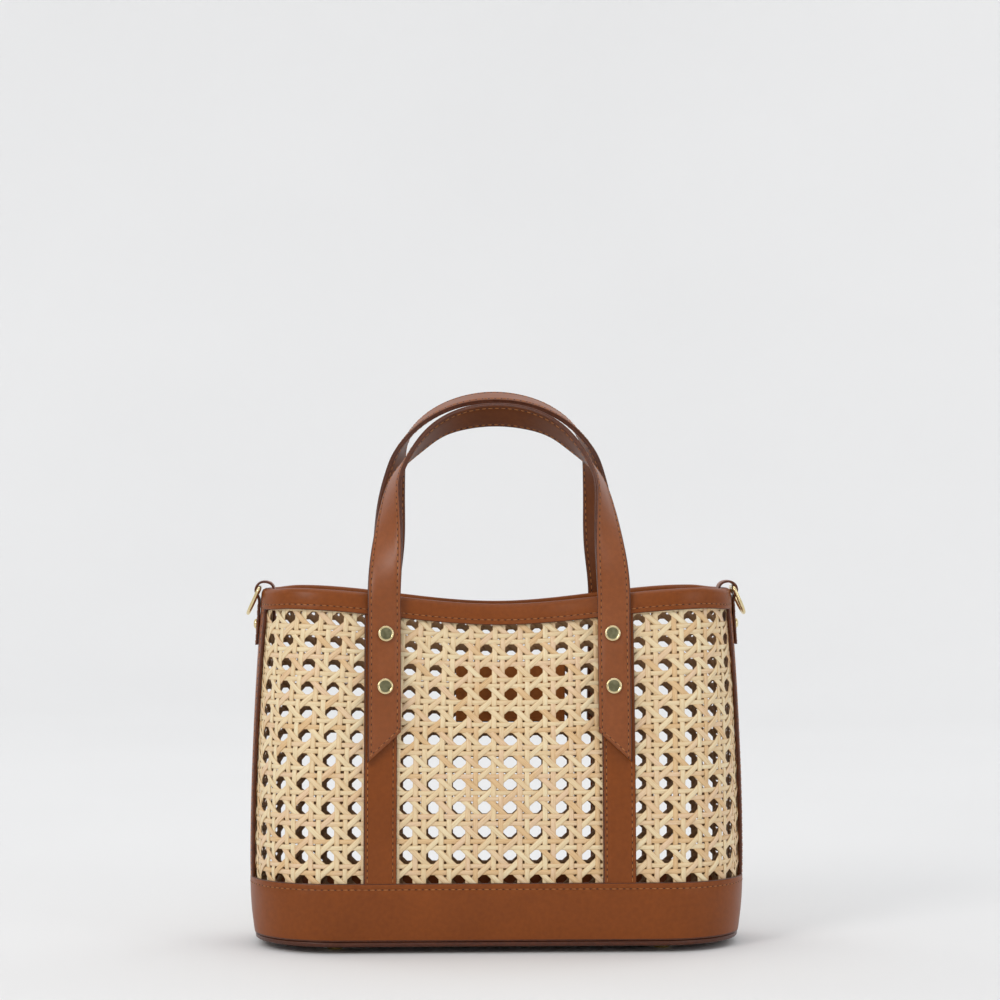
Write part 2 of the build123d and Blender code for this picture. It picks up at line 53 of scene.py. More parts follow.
# ---- the body: seen from above it has round corners, and its front and back lean in towards the rim
BODY_WIDTH = 243.4
BODY_DEPTH = 86.4
WAIST_Z = 45.0
RIM_SIDE_Z = 181.0
RIM_DIP = 8.2  # how far the rim's middle lies under its height at the sides
RIM_CREST = 0.85  # share of the half width where the rim is highest
RIM_EAR = 0.94  # share from which the ring tabs hold it down
RIM_EAR_DROP = 0.8
SIDE_LEAN = 6.1
FRONT_LEAN = 13.0
MIDDLE_SAG = 11.0
LEAN_POWER = 1.8
BASE_TAPER = 3.2
BASE_TAPER_DEPTH = 1.5
CORNER_RADIUS = 39.0
CORNER_LOSS = 10.5
SIDE_FLAT = 1.0  # least flat place in the middle of a side
CANE = 2.0
STRIP = 1.6
BAND = 1.8
BAND_FACE = CANE + BAND

# ---- leather trim
PANEL_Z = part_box("base_panel")[0].z / MM
FLOOR_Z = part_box("base_panel")[1].z / MM
BAND_TOP_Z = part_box("base_band_front")[1].z / MM
BINDING_HEIGHT = 10.5
BINDING_INNER = 1.6
BINDING_CAP = 1.5  # leather over the cane's top edge
# the binding's section in (height, offset) steps: up its outside, over the rim, and down its inside
BINDING_OUTSIDE = [
    (0.0, -0.5), (0.35, -0.12), (1.0, 0.0), (1.9, 0.0), (2.25, -0.05),
    (2.5, -0.18), (2.75, -0.05), (3.2, 0.05), (5.5, 0.12),
]
BINDING_FOLD_OUT = [(-2.4, 0.05), (-1.2, -0.25), (-0.45, -0.85), (-0.08, -1.8)]
BINDING_FOLD_IN = [(-0.08, 1.6), (-0.5, 0.7), (-1.3, 0.2), (-2.5, 0.0)]
BINDING_INSIDE = [(3.0, 0.0), (2.5, 0.15), (2.0, 0.0), (0.4, 0.1), (0.0, 0.5)]
BINDING_SEAM = 2.5  # seam to the cut edge
BAND_SEAM = 2.9
STRIP_WIDTH = 16.4
STRIP_X_TOP = 58.9
STRIP_X_BOTTOM = 59.5
STRIP_TOP_Z = 186.0
STRIP_SEAM = 1.9  # seam to the cut edge
STRIP_UNDER = 3.0  # end hidden under the band or the binding
SIDE_STRIP_WIDTH = 26.0
SIDE_STRIP_SEAM = 2.2
STITCH_PITCH = 3.3
STITCH_SINK = 0.1  # how deep a stitch sits in the leather
CROWN = 0.10  # how much fuller a leather is in its middle

# ---- handles
HANDLE_WIDTH = 16.5
HANDLE_OUTER = 1.3
HANDLE_LINING = 1.2
HANDLE_SEAM = 1.8
HANDLE_SEAT = 0.65  # clearance between a tail and the binding it crosses
HANDLE_X = 57.4
HANDLE_TAIL_TIP_Z = 94.0
HANDLE_TAIL_CUT = 15.0
HANDLE_TAIL_TRIM = 1.0
HANDLE_TAIL_STEPS = 5
HANDLE_TAIL = 34.0  # length of strap with rows that follow the slanting cut
HANDLE_LIFT_Z = 160.0
HANDLE_MIDDLE = BAND_FACE + HANDLE_SEAT + HANDLE_LINING
HANDLE_FACE = HANDLE_MIDDLE + HANDLE_OUTER
HANDLE_RISE = {"front": 91.0, "back": 100.6}
HANDLE_LEAN = {"front": 36.5, "back": 9.5}
HANDLE_LEAN_POWER = 1.15
# share of the leg's distance from the middle, share of the rise, twist in degrees
HANDLE_SHAPE = {
    "front": [
        (0.972, 0.275, 29), (0.941, 0.496, 56), (0.897, 0.639, 76), (0.815, 0.732, 90),
        (0.679, 0.831, 106), (0.505, 0.922, 116), (0.275, 0.980, 126), (0.0, 1.0, 129),
    ],
    "back": [
        (0.958, 0.245, 12), (0.937, 0.441, 34), (0.900, 0.608, 57), (0.869, 0.693, 70), (0.819, 0.765, 84),
        (0.680, 0.863, 96), (0.528, 0.925, 101), (0.300, 0.978, 104), (0.0, 1.0, 106),
    ],
}

# ---- ring tabs
TAB_LOOP_RADIUS = 4.15
TAB_WIDTH = 12.0
TAB_THICK = 1.2
TAB_SEAT = 0.25
TAB_SEAM_Y = 4.4
TAB_END_Z = 151.5
TAB_INNER_END_Z = 157.0

# ---- turned metal, as (radius, height) from the middle of one end to the middle of the other
RIVET_LEVELS = {"low": 131.5, "high": 157.2}
RIVET_CLEAR = 0.25
RIVET_CAP = [
    (0, -1.6), (1.5, -1.6), (1.5, -0.15), (3.85, -0.15), (4.0, 0.15), (4.0, 0.75), (3.82, 1.1),
    (3.45, 1.3), (3.12, 1.26), (2.95, 1.14), (2.6, 1.1), (1.3, 1.13), (0, 1.14),
]
# the cap's flat top is rougher for its brushing and coloured darker as a painted reflection
RIVET_FLAT = 8  # ring of the cap where its brushed flat begins
RIVET_BACK = [(0, -1.25), (2.6, -1.25), (3.3, -1.05), (3.5, -0.7), (3.5, -0.25), (0.6, -0.25), (0, -0.25)]
FOOT_DOME = [(0, 0), (2.4, 0.0), (3.3, 0.18), (4.2, 0.75), (4.75, 1.6), (5.0, 2.7)]
STUD_HEAD = [(0, -0.7), (2.6, -0.7), (2.6, -0.4), (2.1, -0.08), (1.0, 0), (0, 0)]
TAB_DOME = [
    (0, -3.2), (1.5, -3.2), (1.5, -1.7), (2.5, -1.65), (2.6, -1.3), (2.35, -0.65), (1.6, -0.15), (0.7, 0), (0, 0),
]
TAB_DISC = [(0, 0), (1.9, 0), (2.5, 0.3), (2.6, 0.9), (0.6, 1.0), (0, 1.0)]

# ---- half-inch cane webbing: its hole pitch, one hole near the middle, and where the strands lie
CANE_PITCH_X = {"front": 12.93, "back": 13.2}
CANE_PITCH_Z = {"front": 12.15, "back": 12.4}
CANE_PITCH_LOSS = 0.03  # the rows draw together towards the rim
CANE_HOLE_X = {"front": 5.2, "back": 8.6}
CANE_HOLE_Z = {"front": 47.9, "back": 39.0}
CANE_FOLLOW = 0.8  # how much of the rim's dip the top rows follow
CANE_FOLLOW_Z = 72.0  # from this height up
CANE_DRAWN = {"front": 2.0, "back": 0.0}
CANE_DRAWN_REACH = 40.0
CANE_ROWS = range(-4, 13)
CANE_SPARE = 0.72  # holes each way from the middle, as a share of those in the width
CANE_SEED = {"front": 11, "back": 23}
PAIR_X = 0.151  # half the gap in a pair, in hole pitches
PAIR_Z = 0.137
# where a strand has its points in one pitch: level between crossings, and at each over and under
UPRIGHT_CELL = np.array([0.0, 0.27, 0.363, 0.44, 0.56, 0.637, 0.73])
LEVEL_CELL = np.array([0.0, 0.26, 0.349, 0.43, 0.57, 0.651, 0.74])
STRAND_WIDTH = {"upright": 2.55, "level": 2.35, "slant": 2.75}
STRAND_THICK = 0.48
WEAVE_STEP = 0.26  # how far a strand rises and sinks at a crossing
SLANT_STEP = 0.52


# ======== the body's surface

def ease(share):
    """0 to 1, level at both ends."""
    return share * share * (3 - 2 * share)


def unit(vectors):
    return vectors / np.linalg.norm(vectors, axis=-1, keepdims=True)


def travel(points):
    """Distance gone along a line at each of its points."""
    return np.concatenate([[0], np.cumsum(np.linalg.norm(np.diff(points, axis=0), axis=1))])


def rise(z):
    return np.maximum(0.0, (z - WAIST_Z) / (RIM_SIDE_Z - WAIST_Z)) ** LEAN_POWER


def fall(z):
    return np.maximum(0.0, (WAIST_Z - z) / WAIST_Z) ** 2


def half_width(z):
    return BODY_WIDTH / 2 - SIDE_LEAN * rise(z) - BASE_TAPER * fall(z)


def half_depth(z):
    return BODY_DEPTH / 2 - FRONT_LEAN * rise(z) - BASE_TAPER_DEPTH * fall(z)


def corner_radius(z):
    return np.minimum(CORNER_RADIUS - CORNER_LOSS * rise(z), half_depth(z) - SIDE_FLAT)


def run(z):
    return half_width(z) - corner_radius(z)


def half_girth(z):
    """Distance along the outline from the middle of the front to the middle of a side."""
    return run(z) + corner_radius(z) * math.pi / 2 + half_depth(z) - corner_radius(z)


def wall_depth(x, z, offset):
    share = 1 - np.minimum(1.0, np.abs(x) / run(z))
    return half_depth(z) + offset - MIDDLE_SAG * rise(z) * ease(share)


def shell(s, z, offset, side=-1):
    """Points at a distance s along the outline from the middle of the front or back, at a height and offset."""
    s, z, offset = np.broadcast_arrays(np.asarray(s, float), np.asarray(z, float), np.asarray(offset, float))
    a, r = run(z), corner_radius(z)
    b = half_depth(z) - r
    far = np.abs(s)
    angle = np.clip((far - a) / r, 0, math.pi / 2)
    past = np.maximum(0, far - a - r * math.pi / 2)
    x = np.where(far < a, far, a + (r + offset) * np.sin(angle))
    y = np.where(far < a, wall_depth(s, z, offset), b + (r + offset) * np.cos(angle) - past)
    return np.stack([np.sign(s) * x, side * y, z], -1)


def rim_dip(x):
    return RIM_DIP * ease(1 - np.minimum(1.0, np.abs(x) / (RIM_CREST * BODY_WIDTH / 2)))


def rim_z(x):
    """Rim height at a place along the bag, drawn down at the ring tabs."""
    ear = np.clip((2 * np.abs(x) / BODY_WIDTH - RIM_CREST) / (RIM_EAR - RIM_CREST), 0, 1)
    return RIM_SIDE_Z - rim_dip(x) - RIM_EAR_DROP * ease(ear)


def bump(s, centre, height):
    """A leather raised where it lies over an upright strip."""
    return height * ease(np.clip((STRIP_WIDTH / 2 + 3.0 - np.abs(np.abs(s) - centre)) / 3.5, 0, 1))


# ======== meshes

def linked(name, data):
    obj = bpy.data.objects.new(name, data)
    bpy.context.scene.collection.objects.link(obj)
    return obj


def mesh_object(name, points, faces, materials, tags=()):
    """A smooth mesh with its faces turned outwards; tags number each face's material."""
    mesh = bpy.data.meshes.new(name)
    mesh.from_pydata((np.asarray(points) * MM).tolist(), [], [tuple(int(i) for i in f) for f in faces])
    for material in materials:
        mesh.materials.append(material)
    if len(tags):
        mesh.polygons.foreach_set("material_index", np.asarray(tags, np.int32))
    bm = bmesh.new()
    bm.from_mesh(mesh)
    bmesh.ops.recalc_face_normals(bm, faces=bm.faces)
    bm.to_mesh(mesh)
    bm.free()
    mesh.polygons.foreach_set("use_smooth", [True] * len(mesh.polygons))
    return linked(name, mesh)


def between_rings(rows, count, first=0):
    """Faces from each ring of points to the next one."""
    return [
        (a + j, a + (j + 1) % count, a + count + (j + 1) % count, a + count + j)
        for a in range(first, first + (rows - 1) * count, count)
        for j in range(count)
    ]


def skin(name, rings, materials, tags, plate=False):
    """A closed solid from rings of points. Its ends are cut edges, or the flat faces of a plate."""
    rows, count, _ = rings.shape
    faces = between_rings(rows, count) + [tuple(range(count)), tuple(range((rows - 1) * count, rows * count))]
    marks = list(np.broadcast_to(tags, (rows - 1, count)).ravel()) + [int(not plate)] * 2
    obj = mesh_object(name, rings.reshape(-1, 3), faces, materials, marks)
    for face in obj.data.polygons[-2:]:
        face.use_smooth = not plate
    return obj


def slab_section(width, thick, rounding, grooves, groove_depth=0.16, back_round=0.15):
    """Section of a leather as (across, height) points, with 1 where the cut edge is and stitch grooves in its face."""
    half = width / 2
    top = [-half + rounding * 1.6, half - rounding * 1.6]
    for g in grooves:
        top += [g - 0.55, g - 0.25, g, g + 0.25, g + 0.55]
    free = [v for v in np.linspace(-half, half, 9)[1:-1] if all(abs(v - t) > 0.9 for t in top)]
    face = []
    for v in sorted(top + free):
        deep = sum(groove_depth * max(0, 1 - abs(v - g) / 0.5) for g in grooves)
        face.append((v, thick - deep - CROWN * (v / half) ** 2, 0))
    arc = [(0.6, 0.08), (0.18, 0.38), (0.0, 1.0)]
    right = [(half - rounding * a, thick - rounding * b - CROWN, 1) for a, b in arc]
    left = [(-v, h, m) for v, h, m in reversed(right)]
    back = [(half, back_round, 1), (half - back_round, 0.0, 0), (back_round - half, 0.0, 0), (-half, back_round, 1)]
    ring = face + right + back + left
    return np.array([(v, h) for v, h, _ in ring]), [m for _, _, m in ring]


def put(obj, slot, *nodes):
    """Everything made here belongs to the bag's own body; the rings are the frame's nodes."""
    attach(obj, "bag")
    if nodes:
        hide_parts(*nodes)
    return obj


def leather(name, slot, place, steps, shape, material):
    """A leather in place of its node: place(u, v, h) sweeps a section, whose cut edges are painted."""
    section, tags = shape
    u, v = np.meshgrid(steps, section[:, 0], indexing="ij")
    rings = place(u, v, np.broadcast_to(section[:, 1], u.shape))
    put(skin(f"{name}_leather", rings, (material, EDGE), tags), slot, name)


def settle(obj, tree, values):
    """Runs a node tree on an object and keeps its result as a plain mesh."""
    modifier = obj.modifiers.new(tree.name, "NODES")
    modifier.node_group = tree
    for item in tree.interface.items_tree:
        if item.item_type == "SOCKET" and item.in_out == "INPUT" and item.name in values:
            modifier[item.identifier] = values[item.name]
    now = bpy.context.evaluated_depsgraph_get()
    made = bpy.data.meshes.new_from_object(obj.evaluated_get(now), preserve_all_data_layers=True, depsgraph=now)
    made.name = obj.name
    obj.modifiers.remove(modifier)
    obj.data = made
    return obj


# ======== node helpers

def join(tree, node, links):
    """Sets a node's inputs by name or number; a node given as a value stands for its first output."""
    for key, value in links.items():
        if isinstance(value, bpy.types.Node):
            value = value.outputs[0]
        if isinstance(value, bpy.types.NodeSocket):
            tree.links.new(value, node.inputs[key])
        else:
            node.inputs[key].default_value = value


def add(tree, kind, links=None, **settings):
    """Adds one node with its properties, then its inputs."""
    made = tree.nodes.new(kind)
    for key, value in settings.items():
        setattr(made, key, value)
    join(tree, made, links or {})
    return made


def new_tree(name, inputs):
    """An empty geometry tree, its inputs' sockets and its output node; an input without a value is a material."""
    kinds = {float: "NodeSocketFloat", int: "NodeSocketInt", type(None): "NodeSocketMaterial"}
    tree = bpy.data.node_groups.new(name, "GeometryNodeTree")
    tree.interface.new_socket("Geometry", in_out="INPUT", socket_type="NodeSocketGeometry")
    for label, value in inputs.items():
        socket = tree.interface.new_socket(label, in_out="INPUT", socket_type=kinds[type(value)])
        if value is not None:
            socket.default_value = value
    tree.interface.new_socket("Geometry", in_out="OUTPUT", socket_type="NodeSocketGeometry")
    return tree, tree.nodes.new("NodeGroupInput").outputs, tree.nodes.new("NodeGroupOutput")


def stored(tree, name, kind):
    """A value kept on the line's points."""
    return add(tree, "GeometryNodeInputNamedAttribute", {"Name": name}, data_type=kind).outputs["Attribute"]


def real_mesh(tree, geometry, material):
    """Ends a branch: instances made real, shaded smooth, in one material."""
    real = add(tree, "GeometryNodeRealizeInstances", {"Geometry": geometry})
    smooth = add(tree, "GeometryNodeSetShadeSmooth", {"Geometry": real})
    return add(tree, "GeometryNodeSetMaterial", {"Geometry": smooth, "Material": material})


def strand_tree():
    """Turns lines with an 'up' direction into flat-oval strands of split cane."""
    tree, given, end = new_tree("Cane strands", {"Width": 0.002, "Thickness": 0.0006, "Material": None})
    up = stored(tree, "up", "FLOAT_VECTOR")
    size = stored(tree, "size", "FLOAT")
    curve = add(tree, "GeometryNodeMeshToCurve", {"Mesh": given["Geometry"]})
    turned = add(tree, "GeometryNodeSetCurveNormal", {"Curve": curve, "Normal": up}, mode="FREE")
    links = {"Width": given["Thickness"], "Height": given["Width"]}
    flat = add(tree, "GeometryNodeCurvePrimitiveQuadrilateral", links, mode="RECTANGLE")
    soft = add(tree, "GeometryNodeFilletCurve", {"Curve": flat, "Radius": 0.0002, "Count": 1}, mode="POLY")
    # how far across the strand each point of the section lies, from -0.5 to 0.5
    split = add(tree, "ShaderNodeSeparateXYZ", {0: add(tree, "GeometryNodeInputPosition")})
    share = add(tree, "ShaderNodeMath", {0: split.outputs["Y"], 1: given["Width"]}, operation="DIVIDE")
    links = {"Geometry": soft, "Name": "across", "Value": share}
    section = add(tree, "GeometryNodeStoreNamedAttribute", links, data_type="FLOAT", domain="POINT")
    links = {"Curve": turned, "Profile Curve": section, "Scale": size, "Fill Caps": True}
    body = add(tree, "GeometryNodeCurveToMesh", links)
    join(tree, end, {0: real_mesh(tree, body, given["Material"])})
    return tree


def stitch_tree():
    """Lays one rounded stitch per pitch along lines with an 'up' direction, with dark spots of painted shade for
    needle holes between them.
    """
    sizes = {"Pitch": 0.0033, "Length": 0.0024, "Thread": 0.0006, "Seed": 7}
    tree, given, end = new_tree("Lockstitch", sizes | {"Material": None, "Hole Material": None})
    up = stored(tree, "up", "FLOAT_VECTOR")
    curve = add(tree, "GeometryNodeMeshToCurve", {"Mesh": given["Geometry"]})
    even = add(tree, "GeometryNodeResampleCurve", {"Curve": curve, "Length": given["Pitch"]}, mode="LENGTH")
    tangent = add(tree, "GeometryNodeInputTangent")
    along = add(tree, "FunctionNodeAlignRotationToVector", {"Vector": tangent}, axis="X")
    level = add(tree, "FunctionNodeAlignRotationToVector", {"Rotation": along, "Vector": up}, axis="Z", pivot_axis="X")
    grain = add(tree, "GeometryNodeMeshUVSphere", {"Segments": 8, "Rings": 6, "Radius": 0.5})
    laid = {"Points": even, "Instance": grain, "Rotation": level}
    size = add(tree, "ShaderNodeCombineXYZ", {"X": given["Length"], "Y": given["Thread"], "Z": given["Thread"]})
    vary = add(tree, "FunctionNodeRandomValue", {2: 0.88, 3: 1.1, "Seed": given["Seed"]}, data_type="FLOAT")
    scale = add(tree, "ShaderNodeVectorMath", {0: size, "Scale": vary.outputs[1]}, operation="SCALE")
    thread = add(tree, "GeometryNodeInstanceOnPoints", laid | {"Scale": scale})
    # between the stitches, flat dark spots in the hole material: painted shade for the needle holes
    half = add(tree, "ShaderNodeMath", {0: given["Pitch"], 1: 0.5}, operation="MULTIPLY")
    onward = add(tree, "ShaderNodeVectorMath", {0: tangent, "Scale": half.outputs[0]}, operation="SCALE")
    between = add(tree, "GeometryNodeSetPosition", {"Geometry": even, "Offset": onward})
    links = laid | {"Points": between, "Scale": (0.0010, 0.00055, 0.00034)}
    hole = add(tree, "GeometryNodeInstanceOnPoints", links)
    both = add(tree, "GeometryNodeJoinGeometry")
    for part, material in ((thread, "Material"), (hole, "Hole Material")):
        join(tree, both, {0: real_mesh(tree, part, given[material])})
    join(tree, end, {0: both})
    return tree


def line_object(name, lines):
    """Edges for a node tree: each line is (points, ups, extra values by name), all in millimetres."""
    points = np.concatenate([line[0] for line in lines])
    ups = np.concatenate([line[1] for line in lines]).astype(np.float32)
    edges, first = [], 0
    for line in lines:
        count = len(line[0])
        edges += [(first + i, first + i + 1) for i in range(count - 1)]
        first += count
    mesh = bpy.data.meshes.new(name)
    mesh.from_pydata((points * MM).tolist(), edges, [])
    mesh.attributes.new("up", "FLOAT_VECTOR", "POINT").data.foreach_set("vector", ups.ravel())
    for key in lines[0][2]:
        values = np.concatenate([np.broadcast_to(line[2][key], (len(line[0]),)) for line in lines])
        mesh.attributes.new(key, "FLOAT", "POINT").data.foreach_set("value", values.astype(np.float32))
    return linked(name, mesh)


# ======== materials

def linear(code):
    """sRGB hex to linear, with alpha."""
    values = [int(code[i : i + 2], 16) / 255 for i in (1, 3, 5)]
    return tuple(v / 12.92 if v <= 0.04045 else ((v + 0.055) / 1.055) ** 2.4 for v in values) + (1.0,)


def per_metre(size_mm):
    """Texture scale for a feature of this size."""
    return 1.0 / (size_mm * MM)


def new_material(name, roughness, **sockets):
    """A material, its tree and its shader, with the sockets that are the same all over."""
    material = bpy.data.materials.new(name)
    material.use_nodes = True
    tree = material.node_tree
    shader = tree.nodes["Principled BSDF"]
    join(tree, shader, {"Roughness": roughness} | {key.replace("_", " "): value for key, value in sockets.items()})
    return material, tree, shader


def on_object(tree):
    return add(tree, "ShaderNodeTexCoord").outputs["Object"]


def relief(tree, height, strength, distance, **more):
    return add(tree, "ShaderNodeBump", {"Height": height, "Strength": strength, "Distance": distance} | more)


def noise(tree, where, size_mm, detail=2.0, rough=0.5):
    links = {"Vector": where, "Scale": per_metre(size_mm), "Detail": detail, "Roughness": rough}
    return add(tree, "ShaderNodeTexNoise", links)


def ramp(tree, value, stops):
    made = add(tree, "ShaderNodeValToRGB", {"Fac": value})
    elements = made.color_ramp.elements
    while len(elements) < len(stops):
        elements.new(0.5)
    for element, (position, code) in zip(elements, stops):
        element.position = position
        element.color = linear(code)
    return made


def spread(tree, value, low, high, from_low=0.3, from_high=0.7):
    links = {"Value": value, "From Min": from_low, "From Max": from_high, "To Min": low, "To Max": high}
    return add(tree, "ShaderNodeMapRange", links)


def smooth_cowhide(name, tones, roughness, pore_mm=0.55, shine=0.24):
    """Vegetable-look cowhide, pressed and waxed: even tan, fine pores, soft satin shine, slight mottling."""
    gloss = {"Coat_Weight": 0.04, "Coat_Roughness": 0.3, "Specular_IOR_Level": shine}
    material, tree, shader = new_material(name, roughness, **gloss)
    where = on_object(tree)
    cloud = noise(tree, where, 26, 3)
    fleck = noise(tree, where, 2.2, 2)
    mixed = add(tree, "ShaderNodeMath", {0: cloud, 1: fleck}, operation="ADD")
    tone = ramp(tree, spread(tree, mixed, 0, 1, 0.6, 1.4), list(zip((0.0, 0.5, 1.0), tones)))
    pores = add(tree, "ShaderNodeTexVoronoi", {"Vector": where, "Scale": per_metre(pore_mm)}, feature="F1")
    creases = noise(tree, where, 5.0, 4, 0.6)
    fine = relief(tree, pores, 0.22, 0.00005)
    soft = relief(tree, creases, 0.35, 0.00022, Normal=fine)
    satin = spread(tree, cloud, roughness - 0.05, roughness + 0.07)
    join(tree, shader, {"Base Color": tone, "Roughness": satin, "Normal": soft})
    return material


def painted_edge(name, low, high):
    """Burnished leather edge under acrylic edge paint: darker, smooth, a little wavy. The needle holes' painted shade
    is made with it too.
    """
    gloss = {"Coat_Weight": 0.1, "Coat_Roughness": 0.25, "Specular_IOR_Level": 0.35}
    material, tree, shader = new_material(name, 0.4, **gloss)
    where = on_object(tree)
    waves = noise(tree, where, 1.6, 3)
    rounded = relief(tree, waves, 0.4, 0.00012)
    join(tree, shader, {"Base Color": ramp(tree, waves, [(0.35, low), (0.7, high)]), "Normal": rounded})
    return material


def waxed_thread():
    """Bonded polyester thread, tan-orange, twisted: fine slanting ply lines and a dry shine."""
    material, tree, shader = new_material("thread_waxed_polyester", 0.55)
    where = on_object(tree)
    tone = ramp(tree, noise(tree, where, 4, 2), [(0.3, "#94582A"), (0.7, "#B07138")])
    # Real ply lines are 0.2 mm apart, drawn at 0.35 mm so that they show. A wave repeats 20 times per unit of scale.
    links = {"Vector": where, "Scale": per_metre(0.35) / 20}
    ply = add(tree, "ShaderNodeTexWave", links, bands_direction="DIAGONAL").outputs["Fac"]
    raised = relief(tree, ply, 0.5, 0.00008)
    join(tree, shader, {"Base Color": tone, "Normal": raised})
    return material


def split_cane():
    """Split rattan cane, outer skin up: straw to honey from strand to strand, streaked lengthwise, satin varnish."""
    material, tree, shader = new_material("cane_split_rattan", 0.42, Coat_Weight=0.18, Coat_Roughness=0.3)
    strand, along, across = [
        add(tree, "ShaderNodeAttribute", attribute_name=name).outputs["Fac"] for name in ("strand", "along", "across")
    ]
    # along is metres, across is -0.5 to 0.5: streaks 9 mm long and 0.3 mm wide, and slow changes over 26 mm
    patterns = []
    for long_mm, wide, apart, detail in ((9, 8.0, 431.0, 3.0), (26, 0.0, 97.0, 2.0)):
        scaled = [
            add(tree, "ShaderNodeMath", {0: value, 1: factor}, operation="MULTIPLY")
            for value, factor in ((along, per_metre(long_mm)), (across, wide), (strand, apart))
        ]
        place = add(tree, "ShaderNodeCombineXYZ", dict(enumerate(scaled)))
        patterns.append(add(tree, "ShaderNodeTexNoise", {"Vector": place, "Scale": 1.0, "Detail": detail}))
    streaks, drift = patterns
    blend = add(tree, "ShaderNodeMath", {0: strand, 1: drift}, operation="ADD")
    tones = [(0.0, "#EEDDB6"), (0.4, "#EAD4AB"), (0.65, "#E6CCA1"), (0.85, "#E6C7A4"), (1.0, "#DFBC8C")]
    tone = ramp(tree, spread(tree, blend, 0, 1, 0.35, 1.45), tones)
    fibre = ramp(tree, streaks, [(0.3, "#E0C9A4"), (0.5, "#FFFFFF")])
    mixed = add(tree, "ShaderNodeMix", {0: 0.55, 6: tone, 7: fibre}, data_type="RGBA", blend_type="MULTIPLY")
    # the cut edges of a strand are more golden than its skin, and its inner side is pith, browner than both; that
    # brown is partly the pith's own colour and partly painted shade for the bag's shaded inside
    border = add(tree, "ShaderNodeMath", {0: across}, operation="ABSOLUTE")
    face = add(tree, "ShaderNodeNewGeometry").outputs["Normal"]
    up = add(tree, "ShaderNodeAttribute", attribute_name="up").outputs["Vector"]
    facing = add(tree, "ShaderNodeVectorMath", {0: face, 1: up}, operation="DOT_PRODUCT").outputs["Value"]
    golden = spread(tree, border, 0, 0.6, 0.36, 0.5)
    pith_and_shade = spread(tree, facing, 1, 0, -0.3, 0.1)
    for share, code in ((golden, "#CF9F5E"), (pith_and_shade, "#8F6C48")):
        mixed = add(tree, "ShaderNodeMix", {0: share, 6: mixed.outputs[2], 7: linear(code)}, data_type="RGBA")
    satin = spread(tree, streaks, 0.34, 0.55)
    grooved = relief(tree, streaks, 0.5, 0.0001)
    join(tree, shader, {"Base Color": mixed.outputs[2], "Roughness": satin, "Normal": grooved})
    return material


def pale_gold(name, low, high, roughness):
    """Light gold flash over polished zinc: slightly green-gold, with faint polishing waves."""
    material, tree, shader = new_material(name, roughness, Metallic=1.0)
    where = on_object(tree)
    wear = noise(tree, where, 2.5, 3)
    tone = ramp(tree, wear, [(0.3, low), (0.7, high)])
    worn = spread(tree, wear, roughness - 0.03, roughness + 0.1)
    waves = relief(tree, wear, 0.15, 0.00005)
    join(tree, shader, {"Base Color": tone, "Roughness": worn, "Normal": waves})
    return material


def studio_white():
    """Matt backdrop paper."""
    material, tree, shader = new_material("backdrop_paper", 0.9)
    where = on_object(tree)
    join(tree, shader, {"Base Color": ramp(tree, noise(tree, where, 400, 2), [(0.3, "#E5E5E5"), (0.7, "#E7E7E7")])})
    return material


LEATHER = smooth_cowhide("leather_smooth_cowhide_tan", ("#763A0C", "#7E3F0F", "#864412"), 0.4)
STRAP_LEATHER = smooth_cowhide("leather_strap_cowhide_tan", ("#7D4014", "#854517", "#8E4B1B"), 0.38, shine=0.42)
# The lining is coloured darker than the strap's face: painted shade for the handles' shaded undersides; the inside
# floor board is covered in it too.
LINING = smooth_cowhide("leather_lining_painted_shade", ("#5B2D0D", "#643310", "#6D3813"), 0.5, 0.7)
# The patch is coloured lighter than the body's leather: painted light, as it hangs in the shade inside the bag.
LIT_PATCH_LEATHER = smooth_cowhide("leather_patch_painted_light", ("#A85E2A", "#B56A30", "#C07438"), 0.45)
BASE_LEATHER = smooth_cowhide("leather_base_cowhide_dark", ("#502610", "#5A2C12", "#633215"), 0.45)
EDGE = painted_edge("edge_paint_brown", "#4A230F", "#5E2F14")
LIP_EDGE = painted_edge("edge_paint_dark", "#451F0D", "#542811")
THREAD = waxed_thread()
# Dark spots between the stitches: painted shade standing for the needle holes.
NEEDLE_HOLE = painted_edge("needle_hole_painted_shade", "#2E1709", "#3D2010")
CANE_SKIN = split_cane()
GOLD = pale_gold("pale_gold_plated_zinc", "#DCC793", "#EBDBB0", 0.18)
# The flat tops of the rivet caps: rougher for their brushing, and coloured far darker than the gold as a painted dark
# reflection.
GOLD_FLAT = pale_gold("pale_gold_flat_painted_reflection", "#6F6C50", "#8B8768", 0.3)
STRANDS = strand_tree()
LOCKSTITCH = stitch_tree()


# ======== cane panels

def cloth_place(name, u, v, height):
    """Points of the webbing: u counts holes along the bag, v holes up it, height is off the middle of the cane."""
    s = CANE_HOLE_X[name] + CANE_PITCH_X[name] * u
    flat_z = CANE_HOLE_Z[name] + CANE_PITCH_Z[name] * v - CANE_PITCH_LOSS * v * np.abs(v)
    # towards the rim the left half of the front leans in with the side
    drawn = np.clip((flat_z - WAIST_Z) / (RIM_SIDE_Z - WAIST_Z), 0, 1.1) ** 2 * CANE_DRAWN[name]
    s = s + drawn * np.maximum(0, 1 - s / CANE_DRAWN_REACH)
    pulled = np.maximum(0, (flat_z - CANE_FOLLOW_Z) / (RIM_SIDE_Z - CANE_FOLLOW_Z))
    z = flat_z - CANE_FOLLOW * rim_dip(shell(s, flat_z, CANE / 2)[..., 0]) * pulled
    return s, z, shell(s, z, CANE / 2 + height, SIDES[name])


def weave_wave(x):
    """One over-and-under at a crossing of two pairs: +1 and -1 a step apart, level between crossings."""
    return x * np.exp((1 - x * x) / 2)


